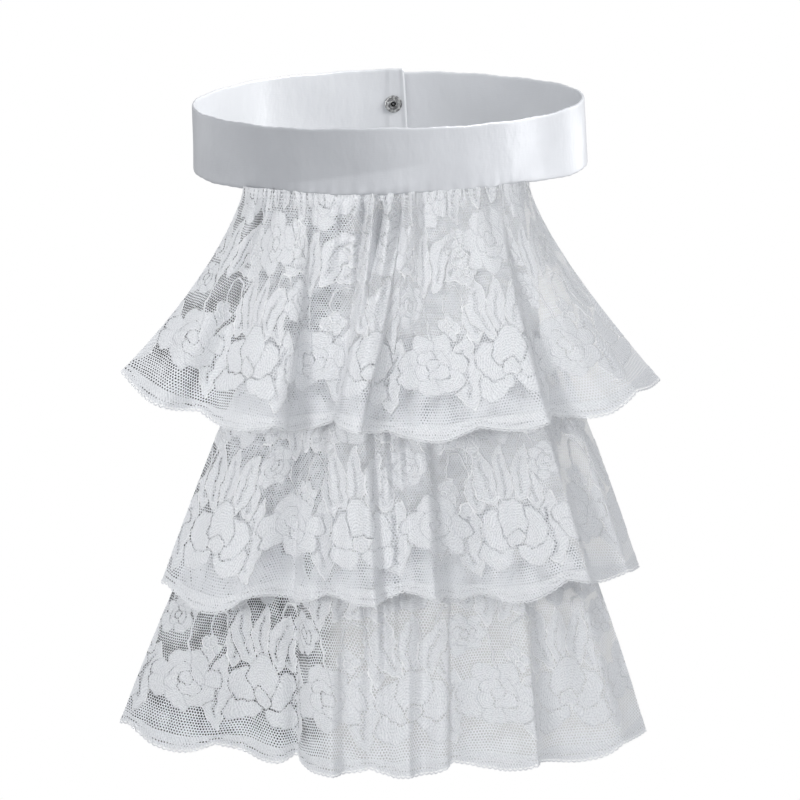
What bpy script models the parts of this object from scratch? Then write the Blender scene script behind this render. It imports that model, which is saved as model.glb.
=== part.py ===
"""Lace jabot: a satin neck band, snapped shut at the back, over three gathered tiers of lace.

It keeps the form that it has when worn, with no wearer. The origin is the middle of the neck ring,
half way up the band, +Z is up and the front faces -Y. Sizes are in millimetres, and the meshes that
are made from them are in metres. To the viewer's left is -X.
"""
import math
from typing import Callable, NamedTuple, Sequence

import bmesh
import bpy

METRES = 0.001
CLOTH_GAP = 0.3            # between pieces where they are sewn together

# Neck band, an ellipse seen from above
BAND_HALF_WIDTH = 74.3     # outer face, across
BAND_HALF_DEPTH = 62.5     # outer face, front to back
BAND_HEIGHT = 24.0
BAND_WALL = 1.6            # folded satin
BAND_LEAN = math.tan(math.radians(1.25))      # the ring rides up towards +X
BAND_EDGE_FOLD = 0.5       # how far the folded edges round off
BAND_STATIONS = 100

# Overlap at centre back: the -X end lies inside, the +X end lies outside
INNER_END_X = 6.8
INNER_END_RAKE = 0.8       # the inner end's edge leans this far each side of upright
OUTER_END_X = -15.0
INNER_END_SINK = 2.0       # towards the neck
OUTER_END_RISE = 2.2       # away from it
LAP_HOLD = 24.0            # length of each end that lies off the ellipse
LAP_BLEND = 38.0           # distance over which it gets there
INNER_END_LIFT = 1.6       # the inner end rides up
OUTER_END_DROP = 0.2
LIFT_BLEND = 150.0         # distance over which the ends' heights settle

# Press stud
SNAP_X = 1.8
SNAP_Z = 0.0
SNAP_RADIUS = 3.35
SNAP_RIM_RADIUS = 1.55
SNAP_HOLE_RADIUS = 1.05
SNAP_BALL_RADIUS = 1.35
SNAP_SIDES = 28
SNAP_SEAT_GAP = 0.47       # on the band's hollow side, so that the rim clears it by 0.3

# Lace
CLOTH_WALL = 1.0
PUCKER_SPACING = 9.8       # gathers along each seam
PUCKER_HEIGHT = 1.5
PUCKER_PEAK = 0.09         # share of the way down where the gathers stand proudest
SCALLOP_WIDTH = 37.0       # along the cut edge
SCALLOP_DEPTH = 3.6
SEAM_DROP = 0.45           # of the lace and its backing, below the band's folded edge
TIER_COLUMNS = 96
TIER_LEVELS = (0.0, 0.045, 0.1, 0.17, 0.28, 0.43, 0.61, 0.8, 1.0)

# Backing panel
BACKING_SEAM_HALF = 47.0   # half width under the band
BACKING_HEM_HALF = 65.0
BACKING_CENTRE_X = 2.0     # it hangs this far towards +X, with the ring's lean
BACKING_HEM_Z = -137.0
BACKING_COLUMNS = 24
BACKING_ROWS = 8
BACKING_FRONT_Y = -60.6    # middle of its wall at centre front
BACKING_CURVE_TOP = 0.0060     # how fast it curves back to the sides, per millimetre
BACKING_CURVE_HEM = 0.0027


class Fold(NamedTuple):
    """One line of lace from seam to hem, at a crest, a flank or the bottom of a fold."""

    seam_x: float          # across, where it is gathered
    hem_x: float           # across, at the hem
    hem_y: float           # depth at the hem, lower towards the viewer
    hem_z: float           # height of the hem, without its scallops


class Tier(NamedTuple):
    """One gathered strip of lace."""

    name: str
    seam_z: float          # height of the gathered edge
    flare: float           # power of the sideways spread; over 1 spreads late
    scallop_start: float   # where the first scallop begins, along the hem
    folds: tuple


TOP_TIER = Tier("lace_tier_top", -BAND_HEIGHT / 2 - SEAM_DROP, 1.35, 0.0, (
    #    seam_x hem_x  hem_y   hem_z
    Fold(-53.7, -98.6, -62.0, -79.0),     # left corner
    Fold(-49.5, -85.0, -77.0, -84.5),     # left flap
    Fold(-44.4, -70.5, -73.0, -92.5),
    Fold(-38.0, -55.0, -90.0, -92.5),     # second ridge
    Fold(-31.5, -42.5, -96.0, -93.0),
    Fold(-28.0, -36.5, -87.0, -94.5),
    Fold(-21.0, -28.0, -78.0, -95.0),     # deep valley
    Fold(-12.5, -20.5, -83.0, -93.5),
    Fold(-6.5, -17.5, -95.0, -91.0),      # third ridge, sharp on its right
    Fold(-1.0, -12.5, -99.5, -91.0),
    Fold(2.0, -9.3, -94.0, -92.5),
    Fold(4.5, -9.8, -86.0, -95.0),
    Fold(8.0, -1.0, -81.0, -98.0),        # centre valley
    Fold(11.5, 12.5, -82.5, -98.5),
    Fold(16.0, 22.0, -94.5, -96.0),       # fourth ridge, wide
    Fold(25.0, 35.0, -104.0, -91.5),
    Fold(35.0, 50.5, -105.5, -88.5),
    Fold(40.0, 58.8, -97.5, -88.5),
    Fold(42.0, 57.8, -87.0, -90.0),
    Fold(44.5, 65.0, -79.5, -90.0),       # right flap
    Fold(48.0, 81.0, -85.0, -87.5),
    Fold(50.5, 92.5, -78.0, -83.5),
    Fold(52.3, 100.3, -64.0, -79.5),
))

MIDDLE_TIER = Tier("lace_tier_middle", -66.5, 0.85, 4.0, (
    #    seam_x hem_x  hem_y   hem_z
    Fold(-46.0, -84.7, -63.0, -158.5),    # left corner
    Fold(-42.0, -75.5, -74.0, -162.0),
    Fold(-36.0, -61.0, -86.0, -164.0),    # left flap
    Fold(-30.0, -46.5, -83.0, -158.5),
    Fold(-26.5, -36.0, -73.0, -160.0),
    Fold(-24.5, -33.6, -79.0, -160.5),    # second ridge, sharp on its left
    Fold(-22.5, -27.0, -86.5, -159.5),
    Fold(-19.5, -19.4, -77.0, -161.0),
    Fold(-12.5, -11.0, -91.0, -159.5),    # third ridge, soft
    Fold(-6.5, -4.5, -92.0, -158.5),
    Fold(-0.5, 3.0, -80.5, -159.5),
    Fold(6.5, 10.5, -91.0, -156.5),       # fourth ridge, sharp on its right
    Fold(11.0, 17.4, -94.0, -155.5),
    Fold(13.5, 18.2, -85.5, -156.5),
    Fold(19.0, 27.5, -77.5, -160.5),      # wide valley
    Fold(27.5, 41.0, -77.0, -161.5),
    Fold(35.5, 55.5, -91.5, -156.5),      # fifth ridge, sharp on its right
    Fold(42.0, 68.5, -97.5, -150.5),
    Fold(45.0, 74.7, -90.5, -150.0),
    Fold(47.0, 74.2, -81.0, -152.0),
    Fold(50.5, 82.5, -75.5, -153.5),      # right flap
    Fold(54.5, 89.0, -75.5, -153.0),
    Fold(58.5, 93.4, -64.0, -151.5),
))

BOTTOM_TIER = Tier("lace_tier_bottom", -132.5, 0.85, 5.0, (
    #    seam_x hem_x  hem_y   hem_z
    Fold(-64.5, -101.0, -60.0, -213.0),   # left corner
    Fold(-60.0, -89.0, -71.0, -216.5),
    Fold(-55.0, -74.0, -76.0, -219.5),    # left flap
    Fold(-48.0, -56.5, -71.0, -221.0),
    Fold(-39.5, -42.0, -79.5, -223.5),
    Fold(-34.5, -34.5, -72.5, -224.0),
    Fold(-32.0, -32.4, -79.5, -225.0),    # second ridge, sharp on its left
    Fold(-28.5, -28.0, -88.5, -224.5),
    Fold(-20.5, -20.0, -93.0, -224.0),
    Fold(-16.5, -16.6, -86.0, -225.5),
    Fold(-8.5, -7.0, -81.0, -227.5),
    Fold(-1.0, 1.0, -88.5, -226.5),       # third ridge, sharp on its right
    Fold(6.0, 8.2, -93.5, -224.5),
    Fold(8.5, 8.9, -85.0, -225.5),
    Fold(14.0, 13.5, -82.0, -226.0),
    Fold(20.5, 20.5, -92.5, -223.5),      # fourth ridge
    Fold(25.5, 25.8, -87.5, -223.0),
    Fold(33.0, 37.0, -79.5, -224.0),
    Fold(41.0, 48.5, -91.5, -223.0),      # fifth ridge
    Fold(46.5, 55.8, -88.0, -223.0),
    Fold(50.0, 60.0, -79.5, -223.0),
    Fold(56.0, 71.5, -78.5, -222.5),      # right flap
    Fold(61.0, 85.0, -75.0, -221.5),
    Fold(66.0, 97.0, -60.0, -216.5),
))

TIERS = (TOP_TIER, MIDDLE_TIER, BOTTOM_TIER)

WHITE_SATIN = ("white_satin", (0.86, 0.87, 0.89), 0.32, 0.0)
WHITE_LACE = ("white_lace", (0.84, 0.85, 0.86), 0.75, 0.0)
WHITE_NET = ("white_net", (0.80, 0.81, 0.83), 0.85, 0.0)
NICKEL = ("nickel", (0.42, 0.42, 0.43), 0.32, 1.0)


def clear_scene() -> None:
    """Removes whatever the file started with."""
    for item in list(bpy.data.objects):
        bpy.data.objects.remove(item, do_unlink=True)


def make_material(finish: tuple) -> bpy.types.Material:
    """A Principled material from a (name, colour, roughness, metallic) finish."""
    name, colour, roughness, metallic = finish
    material = bpy.data.materials.new(name)
    material.use_nodes = True
    shader = material.node_tree.nodes["Principled BSDF"]
    shader.inputs["Base Color"].default_value = (*colour, 1.0)
    shader.inputs["Roughness"].default_value = roughness
    shader.inputs["Metallic"].default_value = metallic
    return material


def add_object(name: str, bm: bmesh.types.BMesh, finish: tuple, sharp_angle: float) -> bpy.types.Object:
    """Turns a millimetre bmesh into a named, smooth-shaded object in metres."""
    bmesh.ops.recalc_face_normals(bm, faces=bm.faces)
    bmesh.ops.scale(bm, vec=(METRES, METRES, METRES), verts=bm.verts)
    mesh = bpy.data.meshes.new(name)
    bm.to_mesh(mesh)
    bm.free()
    mesh.materials.append(make_material(finish))
    mesh.shade_smooth()
    mesh.set_sharp_from_angle(angle=math.radians(sharp_angle))
    item = bpy.data.objects.new(name, mesh)
    bpy.context.scene.collection.objects.link(item)
    return item


def mix(start: float, end: float, share: float) -> float:
    """The value that lies `share` of the way from start to end."""
    return start + (end - start) * share


def ease(share: float) -> float:
    """A smooth step from 0 to 1."""
    share = min(max(share, 0.0), 1.0)
    return share * share * (3.0 - 2.0 * share)


def minus(end: Sequence[float], start: Sequence[float]) -> tuple:
    """The step from start to end."""
    return tuple(b - a for a, b in zip(start, end))


def length(step: Sequence[float]) -> float:
    """The length of a step."""
    return math.sqrt(sum(value * value for value in step))


def unit_normal(along: Sequence[float], down: Sequence[float]) -> tuple:
    """The unit normal of a surface from its two directions."""
    normal = (along[1] * down[2] - along[2] * down[1],
              along[2] * down[0] - along[0] * down[2],
              along[0] * down[1] - along[1] * down[0])
    size = length(normal)
    return tuple(value / size for value in normal)


def add_wall(bm: bmesh.types.BMesh, rows: Sequence[Sequence[tuple]], thickness: float) -> None:
    """Gives a sheet of points a wall of even thickness and closes its four edges.

    Args:
        bm: receives the wall.
        rows: the sheet's middle surface, each row running along the cloth.
        thickness: the whole wall, half of it on each side.
    """
    last_row, last_column = len(rows) - 1, len(rows[0]) - 1
    faces = []
    for side in (-0.5, 0.5):
        skin = []
        for r, row in enumerate(rows):
            line = []
            for c, point in enumerate(row):
                along = minus(row[min(c + 1, last_column)], row[max(c - 1, 0)])
                down = minus(rows[min(r + 1, last_row)][c], rows[max(r - 1, 0)][c])
                normal = unit_normal(along, down)
                line.append(bm.verts.new([p + n * thickness * side for p, n in zip(point, normal)]))
            skin.append(line)
        faces.append(skin)
    inner, outer = faces
    for skin in faces:
        for upper, lower in zip(skin, skin[1:]):
            for c in range(last_column):
                bm.faces.new((upper[c], upper[c + 1], lower[c + 1], lower[c]))
    for r in (0, last_row):
        for c in range(last_column):
            bm.faces.new((inner[r][c], inner[r][c + 1], outer[r][c + 1], outer[r][c]))
    for c in (0, last_column):
        for r in range(last_row):
            bm.faces.new((inner[r][c], inner[r + 1][c], outer[r + 1][c], outer[r][c]))


def hermite(before: Fold, start: Fold, end: Fold, after: Fold, knots: Sequence[float], at: float) -> Fold:
    """A fold line between two rows of a tier's table, on a smooth curve through all of its rows."""
    k0, k1, k2, k3 = knots
    t = (at - k1) / (k2 - k1)
    span = k2 - k1
    values = []
    for a, b, c, d in zip(before, start, end, after):
        leave = span * (c - a) / (k2 - k0)
        arrive = span * (d - b) / (k3 - k1)
        values.append((2 * t**3 - 3 * t**2 + 1) * b + (t**3 - 2 * t**2 + t) * leave
                      + (3 * t**2 - 2 * t**3) * c + (t**3 - t**2) * arrive)
    return Fold(*values)


def fold_lines(tier: Tier, count: int) -> list:
    """Fold lines spaced evenly along a tier's hem.

    Returns:
        A list of (fold line, distance along the hem) pairs.
    """
    table = tier.folds
    knots = [0.0]
    for start, end in zip(table, table[1:]):
        knots.append(knots[-1] + length(minus(end[1:3], start[1:3])) ** 0.5)
    fine = []
    steps = 24
    for i in range(len(table) - 1):
        j, k = max(i - 1, 0), min(i + 2, len(table) - 1)
        corners = (knots[i] - 1.0 if i == 0 else knots[j], knots[i], knots[i + 1],
                   knots[i + 1] + 1.0 if k == i + 1 else knots[k])
        for step in range(steps):
            at = mix(knots[i], knots[i + 1], step / steps)
            fine.append(hermite(table[j], table[i], table[i + 1], table[k], corners, at))
    fine.append(table[-1])
    travelled = [0.0]
    for start, end in zip(fine, fine[1:]):
        travelled.append(travelled[-1] + length(minus(end[1:3], start[1:3])))
    lines = []
    i = 0
    for n in range(count + 1):
        goal = travelled[-1] * n / count
        while i < len(fine) - 2 and travelled[i + 1] < goal:
            i += 1
        share = (goal - travelled[i]) / (travelled[i + 1] - travelled[i])
        line = Fold(*[mix(a, b, share) for a, b in zip(fine[i], fine[i + 1])])
        lines.append((line, goal))
    return lines


def backing_curve(z: float) -> float:
    """How fast the backing curves back to its sides at this height."""
    share = (z + BAND_HEIGHT / 2) / (BACKING_HEM_Z + BAND_HEIGHT / 2)
    return mix(BACKING_CURVE_TOP, BACKING_CURVE_HEM, min(max(share, 0.0), 1.0))


def backing_y(x: float, z: float) -> float:
    """Depth of the backing's middle surface."""
    return BACKING_FRONT_Y + backing_curve(z) * x * x


def seam_y(x: float, z: float) -> float:
    """Depth of a lace strip's middle surface where it is sewn on, just clear of the backing."""
    slope = 2.0 * backing_curve(z) * x
    return backing_y(x, z) - (CLOTH_WALL + CLOTH_GAP) * math.hypot(1.0, slope)


def pucker(seam_x: float, share: float) -> float:
    """How far the gathers stand out of the cloth, `share` of the way down."""
    wander = 0.9 * math.sin(seam_x / 11.0) + 0.5 * math.sin(seam_x / 5.3 + 1.0)
    wave = math.sin(2.0 * math.pi * seam_x / PUCKER_SPACING + wander)
    rise = share / PUCKER_PEAK
    return PUCKER_HEIGHT * wave * rise * math.exp(1.0 - rise)


def scallop(tier: Tier, along: float) -> float:
    """How far a scallop hangs below the hem's mean line."""
    wave = abs(math.sin(math.pi * (along - tier.scallop_start) / SCALLOP_WIDTH))
    return SCALLOP_DEPTH * (wave - 2.0 / math.pi)


def tier_point(tier: Tier, line: Fold, along: float, share: float) -> tuple:
    """A point of a tier's middle surface.

    Args:
        tier: the strip of lace.
        line: its fold line there.
        along: distance along the hem, as the strip is cut.
        share: how far down the strip, from 0 at the seam to 1 at the hem.
    """
    seam_z = tier.seam_z + (BAND_LEAN * line.seam_x if tier is TOP_TIER else 0.0)
    x = mix(line.seam_x, line.hem_x, share ** tier.flare)
    spring = PUCKER_HEIGHT * min(share / PUCKER_PEAK, 1.0)
    y = mix(seam_y(line.seam_x, seam_z), line.hem_y, share) - spring - pucker(line.seam_x, share)
    z = mix(seam_z, line.hem_z, share) - scallop(tier, along) * share ** 4
    return x, y, z


def make_tier(tier: Tier) -> bpy.types.Object:
    """One strip of lace, gathered at its seam and folded at its hem."""
    lines = fold_lines(tier, TIER_COLUMNS)
    rows = [[tier_point(tier, line, along, share) for line, along in lines] for share in TIER_LEVELS]
    bm = bmesh.new()
    add_wall(bm, rows, CLOTH_WALL)
    return add_object(tier.name, bm, WHITE_LACE, 60.0)


def make_backing() -> bpy.types.Object:
    """The plain panel that carries the two lower tiers."""
    rows = []
    for r in range(BACKING_ROWS + 1):
        share = r / BACKING_ROWS
        half = mix(BACKING_SEAM_HALF, BACKING_HEM_HALF, share)
        row = []
        for c in range(BACKING_COLUMNS + 1):
            x = BACKING_CENTRE_X + mix(-half, half, c / BACKING_COLUMNS)
            z = mix(-BAND_HEIGHT / 2 - SEAM_DROP + BAND_LEAN * x, BACKING_HEM_Z, share)
            row.append((x, backing_y(x, z), z))
        rows.append(row)
    bm = bmesh.new()
    add_wall(bm, rows, CLOTH_WALL)
    return add_object("backing_panel", bm, WHITE_NET, 60.0)


def band_path() -> list:
    """Stations round the band, from its inner end at the back, by -X and the front, to its outer end.

    Returns:
        A list of (x, y, outward x, outward y, lift) for the band's middle surface.
    """
    half_width = BAND_HALF_WIDTH - BAND_WALL / 2
    half_depth = BAND_HALF_DEPTH - BAND_WALL / 2
    start = math.pi / 2 - math.asin(INNER_END_X / half_width)
    finish = math.pi / 2 + 2.0 * math.pi - math.asin(OUTER_END_X / half_width)
    stations = []
    for n in range(BAND_STATIONS + 1):
        angle = mix(start, finish, n / BAND_STATIONS)
        x, y = half_width * math.cos(angle), half_depth * math.sin(angle)
        size = math.hypot(half_depth * math.cos(angle), half_width * math.sin(angle))
        out_x = half_depth * math.cos(angle) / size
        out_y = half_width * math.sin(angle) / size
        inner = 1.0 - ease(((angle - start) * half_width - LAP_HOLD) / LAP_BLEND)
        outer = 1.0 - ease(((finish - angle) * half_width - LAP_HOLD) / LAP_BLEND)
        shift = OUTER_END_RISE * outer - INNER_END_SINK * inner
        inner_lift = INNER_END_LIFT * (1.0 - ease((angle - start) * half_width / LIFT_BLEND))
        outer_drop = OUTER_END_DROP * (1.0 - ease((finish - angle) * half_width / LIFT_BLEND))
        lift = inner_lift - outer_drop + BAND_LEAN * x
        stations.append((x + out_x * shift, y + out_y * shift, out_x, out_y, lift))
    return stations


def make_band() -> bpy.types.Object:
    """The folded satin strip round the neck, its ends lapped at the back."""
    half_wall, half_height = BAND_WALL / 2, BAND_HEIGHT / 2
    section = []
    for side, end in ((1, -1), (1, 1), (-1, 1), (-1, -1)):
        corner = [(side * half_wall, end * (half_height - BAND_EDGE_FOLD)),
                  (side * (half_wall - BAND_EDGE_FOLD), end * half_height)]
        section += corner if side == end else corner[::-1]
    bm = bmesh.new()
    rings = []
    stations = band_path()
    for n, (x, y, out_x, out_y, lift) in enumerate(stations):
        ring = []
        for out, up in section:
            rake = -INNER_END_RAKE * up / half_height if n == 0 else 0.0
            ring.append(bm.verts.new((x + out_x * out + rake, y + out_y * out, up + lift)))
        rings.append(ring)
    count = len(section)
    for ring, after in zip(rings, rings[1:]):
        for k in range(count):
            bm.faces.new((ring[k], ring[(k + 1) % count], after[(k + 1) % count], after[k]))
    bm.faces.new(rings[0])
    bm.faces.new(rings[-1])
    return add_object("neck_band", bm, WHITE_SATIN, 50.0)


def make_stamping(name: str, profile: Sequence[tuple], base_y: float, outward: int) -> bpy.types.Object:
    """A turned snap part on its axis, which runs front to back.

    Args:
        name: the node's name.
        profile: closed outline of (radius, height from the base) points.
        base_y: where its base lies.
        outward: 1 if its height grows towards +Y, -1 towards -Y.
    """
    bm = bmesh.new()
    corners = [bm.verts.new((radius, outward * height, 0.0)) for radius, height in profile]
    outline = [bm.edges.new(pair) for pair in zip(corners, corners[1:])]
    if profile[0][0] > 0.0:
        outline.append(bm.edges.new((corners[-1], corners[0])))
    bmesh.ops.spin(bm, geom=corners + outline, cent=(0, 0, 0), axis=(0, 1, 0), dvec=(0, 0, 0),
                   angle=2.0 * math.pi, steps=SNAP_SIDES, use_merge=True)
    bmesh.ops.remove_doubles(bm, verts=bm.verts, dist=0.001)
    bmesh.ops.translate(bm, vec=(SNAP_X, base_y, SNAP_Z), verts=bm.verts)
    return add_object(name, bm, NICKEL, 35.0)


def make_snap() -> list:
    """The four stampings of the press stud, each just clear of the satin."""
    middle = BAND_HALF_DEPTH - BAND_WALL / 2
    inner_face = middle - INNER_END_SINK - BAND_WALL / 2
    inner_back = inner_face + BAND_WALL
    outer_face = middle + OUTER_END_RISE - BAND_WALL / 2
    outer_back = outer_face + BAND_WALL
    eyelet = [(SNAP_HOLE_RADIUS, 0.0), (SNAP_RADIUS, 0.0), (SNAP_RADIUS, 0.35), (SNAP_RADIUS - 0.4, 0.6),
              (SNAP_RIM_RADIUS + 0.3, 0.55), (SNAP_RIM_RADIUS, 1.0), (SNAP_HOLE_RADIUS, 0.95)]
    stud = [(0.0, 0.0), (SNAP_RADIUS - 0.3, 0.0), (SNAP_RADIUS - 0.3, 0.45), (SNAP_BALL_RADIUS - 0.2, 0.55),
            (SNAP_BALL_RADIUS, 1.1), (SNAP_BALL_RADIUS - 0.3, 1.6), (0.0, 1.65)]
    socket = [(SNAP_BALL_RADIUS + 0.3, 0.0), (SNAP_RADIUS, 0.0), (SNAP_RADIUS, 0.9),
              (SNAP_RADIUS - 0.3, 1.05), (SNAP_BALL_RADIUS + 0.3, 1.05)]
    cap = [(0.0, 0.0), (SNAP_RADIUS + 0.15, 0.0), (SNAP_RADIUS + 0.15, 0.3), (SNAP_RADIUS - 0.5, 0.75),
           (SNAP_RADIUS * 0.5, 0.95), (0.0, 1.0)]
    return [make_stamping("snap_eyelet", eyelet, inner_face - SNAP_SEAT_GAP, -1),
            make_stamping("snap_stud", stud, inner_back + CLOTH_GAP, 1),
            make_stamping("snap_socket", socket, outer_face - SNAP_SEAT_GAP, -1),
            make_stamping("snap_cap", cap, outer_back + CLOTH_GAP, 1)]


def main() -> None:
    """Builds the jabot from the neck down."""
    clear_scene()
    make_band()
    make_snap()
    make_backing()
    for tier in TIERS:
        make_tier(tier)


main()
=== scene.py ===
"""Dresses the lace jabot: satin neck band, press stud, net backing and three gathered lace tiers.

Every size here is in millimetres until a mesh is made, and the meshes are in metres, in the part's own
frame: the origin is the middle of the neck ring, +Z is up and the front faces -Y.
"""
import logging
import math
from dataclasses import dataclass, field
from enum import Enum
from typing import NamedTuple, Sequence

import bmesh
import bpy
import numpy as np
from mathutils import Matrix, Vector


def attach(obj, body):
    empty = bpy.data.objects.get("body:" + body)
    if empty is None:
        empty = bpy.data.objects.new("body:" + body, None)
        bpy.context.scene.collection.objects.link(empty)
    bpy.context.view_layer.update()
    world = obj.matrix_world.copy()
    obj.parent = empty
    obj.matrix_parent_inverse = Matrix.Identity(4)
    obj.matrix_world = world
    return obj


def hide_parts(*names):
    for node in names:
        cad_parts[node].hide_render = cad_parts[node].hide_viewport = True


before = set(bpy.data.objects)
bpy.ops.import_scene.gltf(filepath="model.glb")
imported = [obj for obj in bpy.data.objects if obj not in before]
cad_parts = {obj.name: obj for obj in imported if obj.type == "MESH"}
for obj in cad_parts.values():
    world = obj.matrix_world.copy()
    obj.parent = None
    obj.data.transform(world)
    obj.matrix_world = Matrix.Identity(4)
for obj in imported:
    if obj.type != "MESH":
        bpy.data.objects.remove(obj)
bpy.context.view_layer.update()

METRES = 0.001
FULL_TURN = 2.0 * math.pi
# How far the cut map is moved, so that the net never meets zero, where its cells would be mirrored.
CUT_SHIFT = 100.0
# The distances past a net thread's half width over which it fades out.
THREAD_EDGE = (-0.03, 0.04)
LOG = logging.getLogger("jabot")
Array = np.ndarray
Piece = bpy.types.Object
Finish = bpy.types.Material
Socket = bpy.types.NodeSocket
Value = float | tuple | Socket


class Held(Enum):
    """How a sheet of cloth is held."""

    FOLDED = "folded"
    GATHERED = "gathered"
    HUNG = "hung"


class MotifKind(Enum):
    """The figures of the lace, each with the name of the LaceChart method that draws it."""

    ROSE = "rose"
    POPPY = "poppy"
    LEAF = "leaf"
    BLOSSOM = "blossom"
    OVAL = "oval"
    STEM = "stem"


@dataclass(frozen=True)
class Motif:
    """A figure of the lace's repeat, in millimetres along the strip and up from its hem.

    Attributes:
        kind: which figure.
        along: its centre, or its base for a leaf or stem, along the strip.
        up: the same, above the hem's mean line.
        size: radius, or length for a leaf or stem.
        width: across a leaf, half across an oval, a rose's height over its width, or a stem's bow.
        turn: degrees, anticlockwise from along the strip.
    """

    kind: MotifKind
    along: float
    up: float
    size: float
    width: float
    turn: float


class Petal(NamedTuple):
    """An oval petal, as shares of its figure's size, turned by some degrees."""

    reach: float
    half_long: float
    half_wide: float
    turn: float = 0.0


class Part(NamedTuple):
    """One shape of a figure: distances to it and to its bright outline, the place across the ribs of its
    close work, and the net left open round it.
    """

    shape: Array
    cord: Array
    rib: Array
    parting: float


class Ripple(NamedTuple):
    """A wave of a surface: its height, the lengths along and across over one radian, and its phase."""

    height: float
    along: float
    across: float = math.inf
    phase: float = 0.0


def waves(ripples: Sequence[Ripple], along: Array, across: Array | float = 0.0) -> Array:
    """The sum of some ripples at a place."""
    return sum(r.height * np.sin(along / r.along + across / r.across + r.phase) for r in ripples)


def motifs(*groups: tuple) -> tuple[Motif, ...]:
    """Figures, the lowest first, out of groups of a kind and rows of a Motif's other fields."""
    return tuple(Motif(kind, *row) for kind, *rows in groups for row in rows)


REPEAT = motifs(
    (MotifKind.STEM, (19, 36, 20, 2.5, 96), (37, 52, 24, -3, 96), (73, 58, 22, 3, 84)),
    (MotifKind.OVAL, (31.5, 47.5, 7.4, 4.8, 84), (68.5, 55, 5.6, 3.6, 60)),
    (MotifKind.LEAF,
     (37, 7.5, 31, 13, 92), (0, 7.5, 31, 13, 88), (41, 32, 22, 10.5, 84), (70.5, 32, 19, 9.5, 100),
     (49.5, 33, 26, 11, 106), (61.5, 33, 24, 10.5, 72), (55.5, 32, 26, 9.5, 90), (22, 53, 27, 12, 62),
     (10, 58, 26, 11.5, 116), (27, 57, 20, 9.5, 22), (6, 63, 18, 9, 160), (16.5, 50, 28, 11, 88),
     (44, 84, 22, 10, 132), (67, 84, 22, 10, 48), (37, 77, 22, 9, 88), (0.5, 80, 20, 9, 94),
     (51.5, 84, 18, 8.5, 104), (59.5, 84, 18, 8.5, 76)),
    (MotifKind.BLOSSOM,
     (37, 69, 7, 0, 18), (73.5, 74, 7, 0, 50), (27.5, 39.5, 5.4, 0, 10), (40, 61, 6.4, 0, 70)),
    (MotifKind.ROSE, (5, 49.5, 10, 0.8, 40)),
    (MotifKind.POPPY, (55.5, 20.5, 17.5, 0, 0)),
    (MotifKind.ROSE, (18.5, 26, 18, 0.66, 8), (55.5, 71, 16.5, 0.8, 170), (18.5, 89, 14.5, 0.85, 75)),
)

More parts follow.
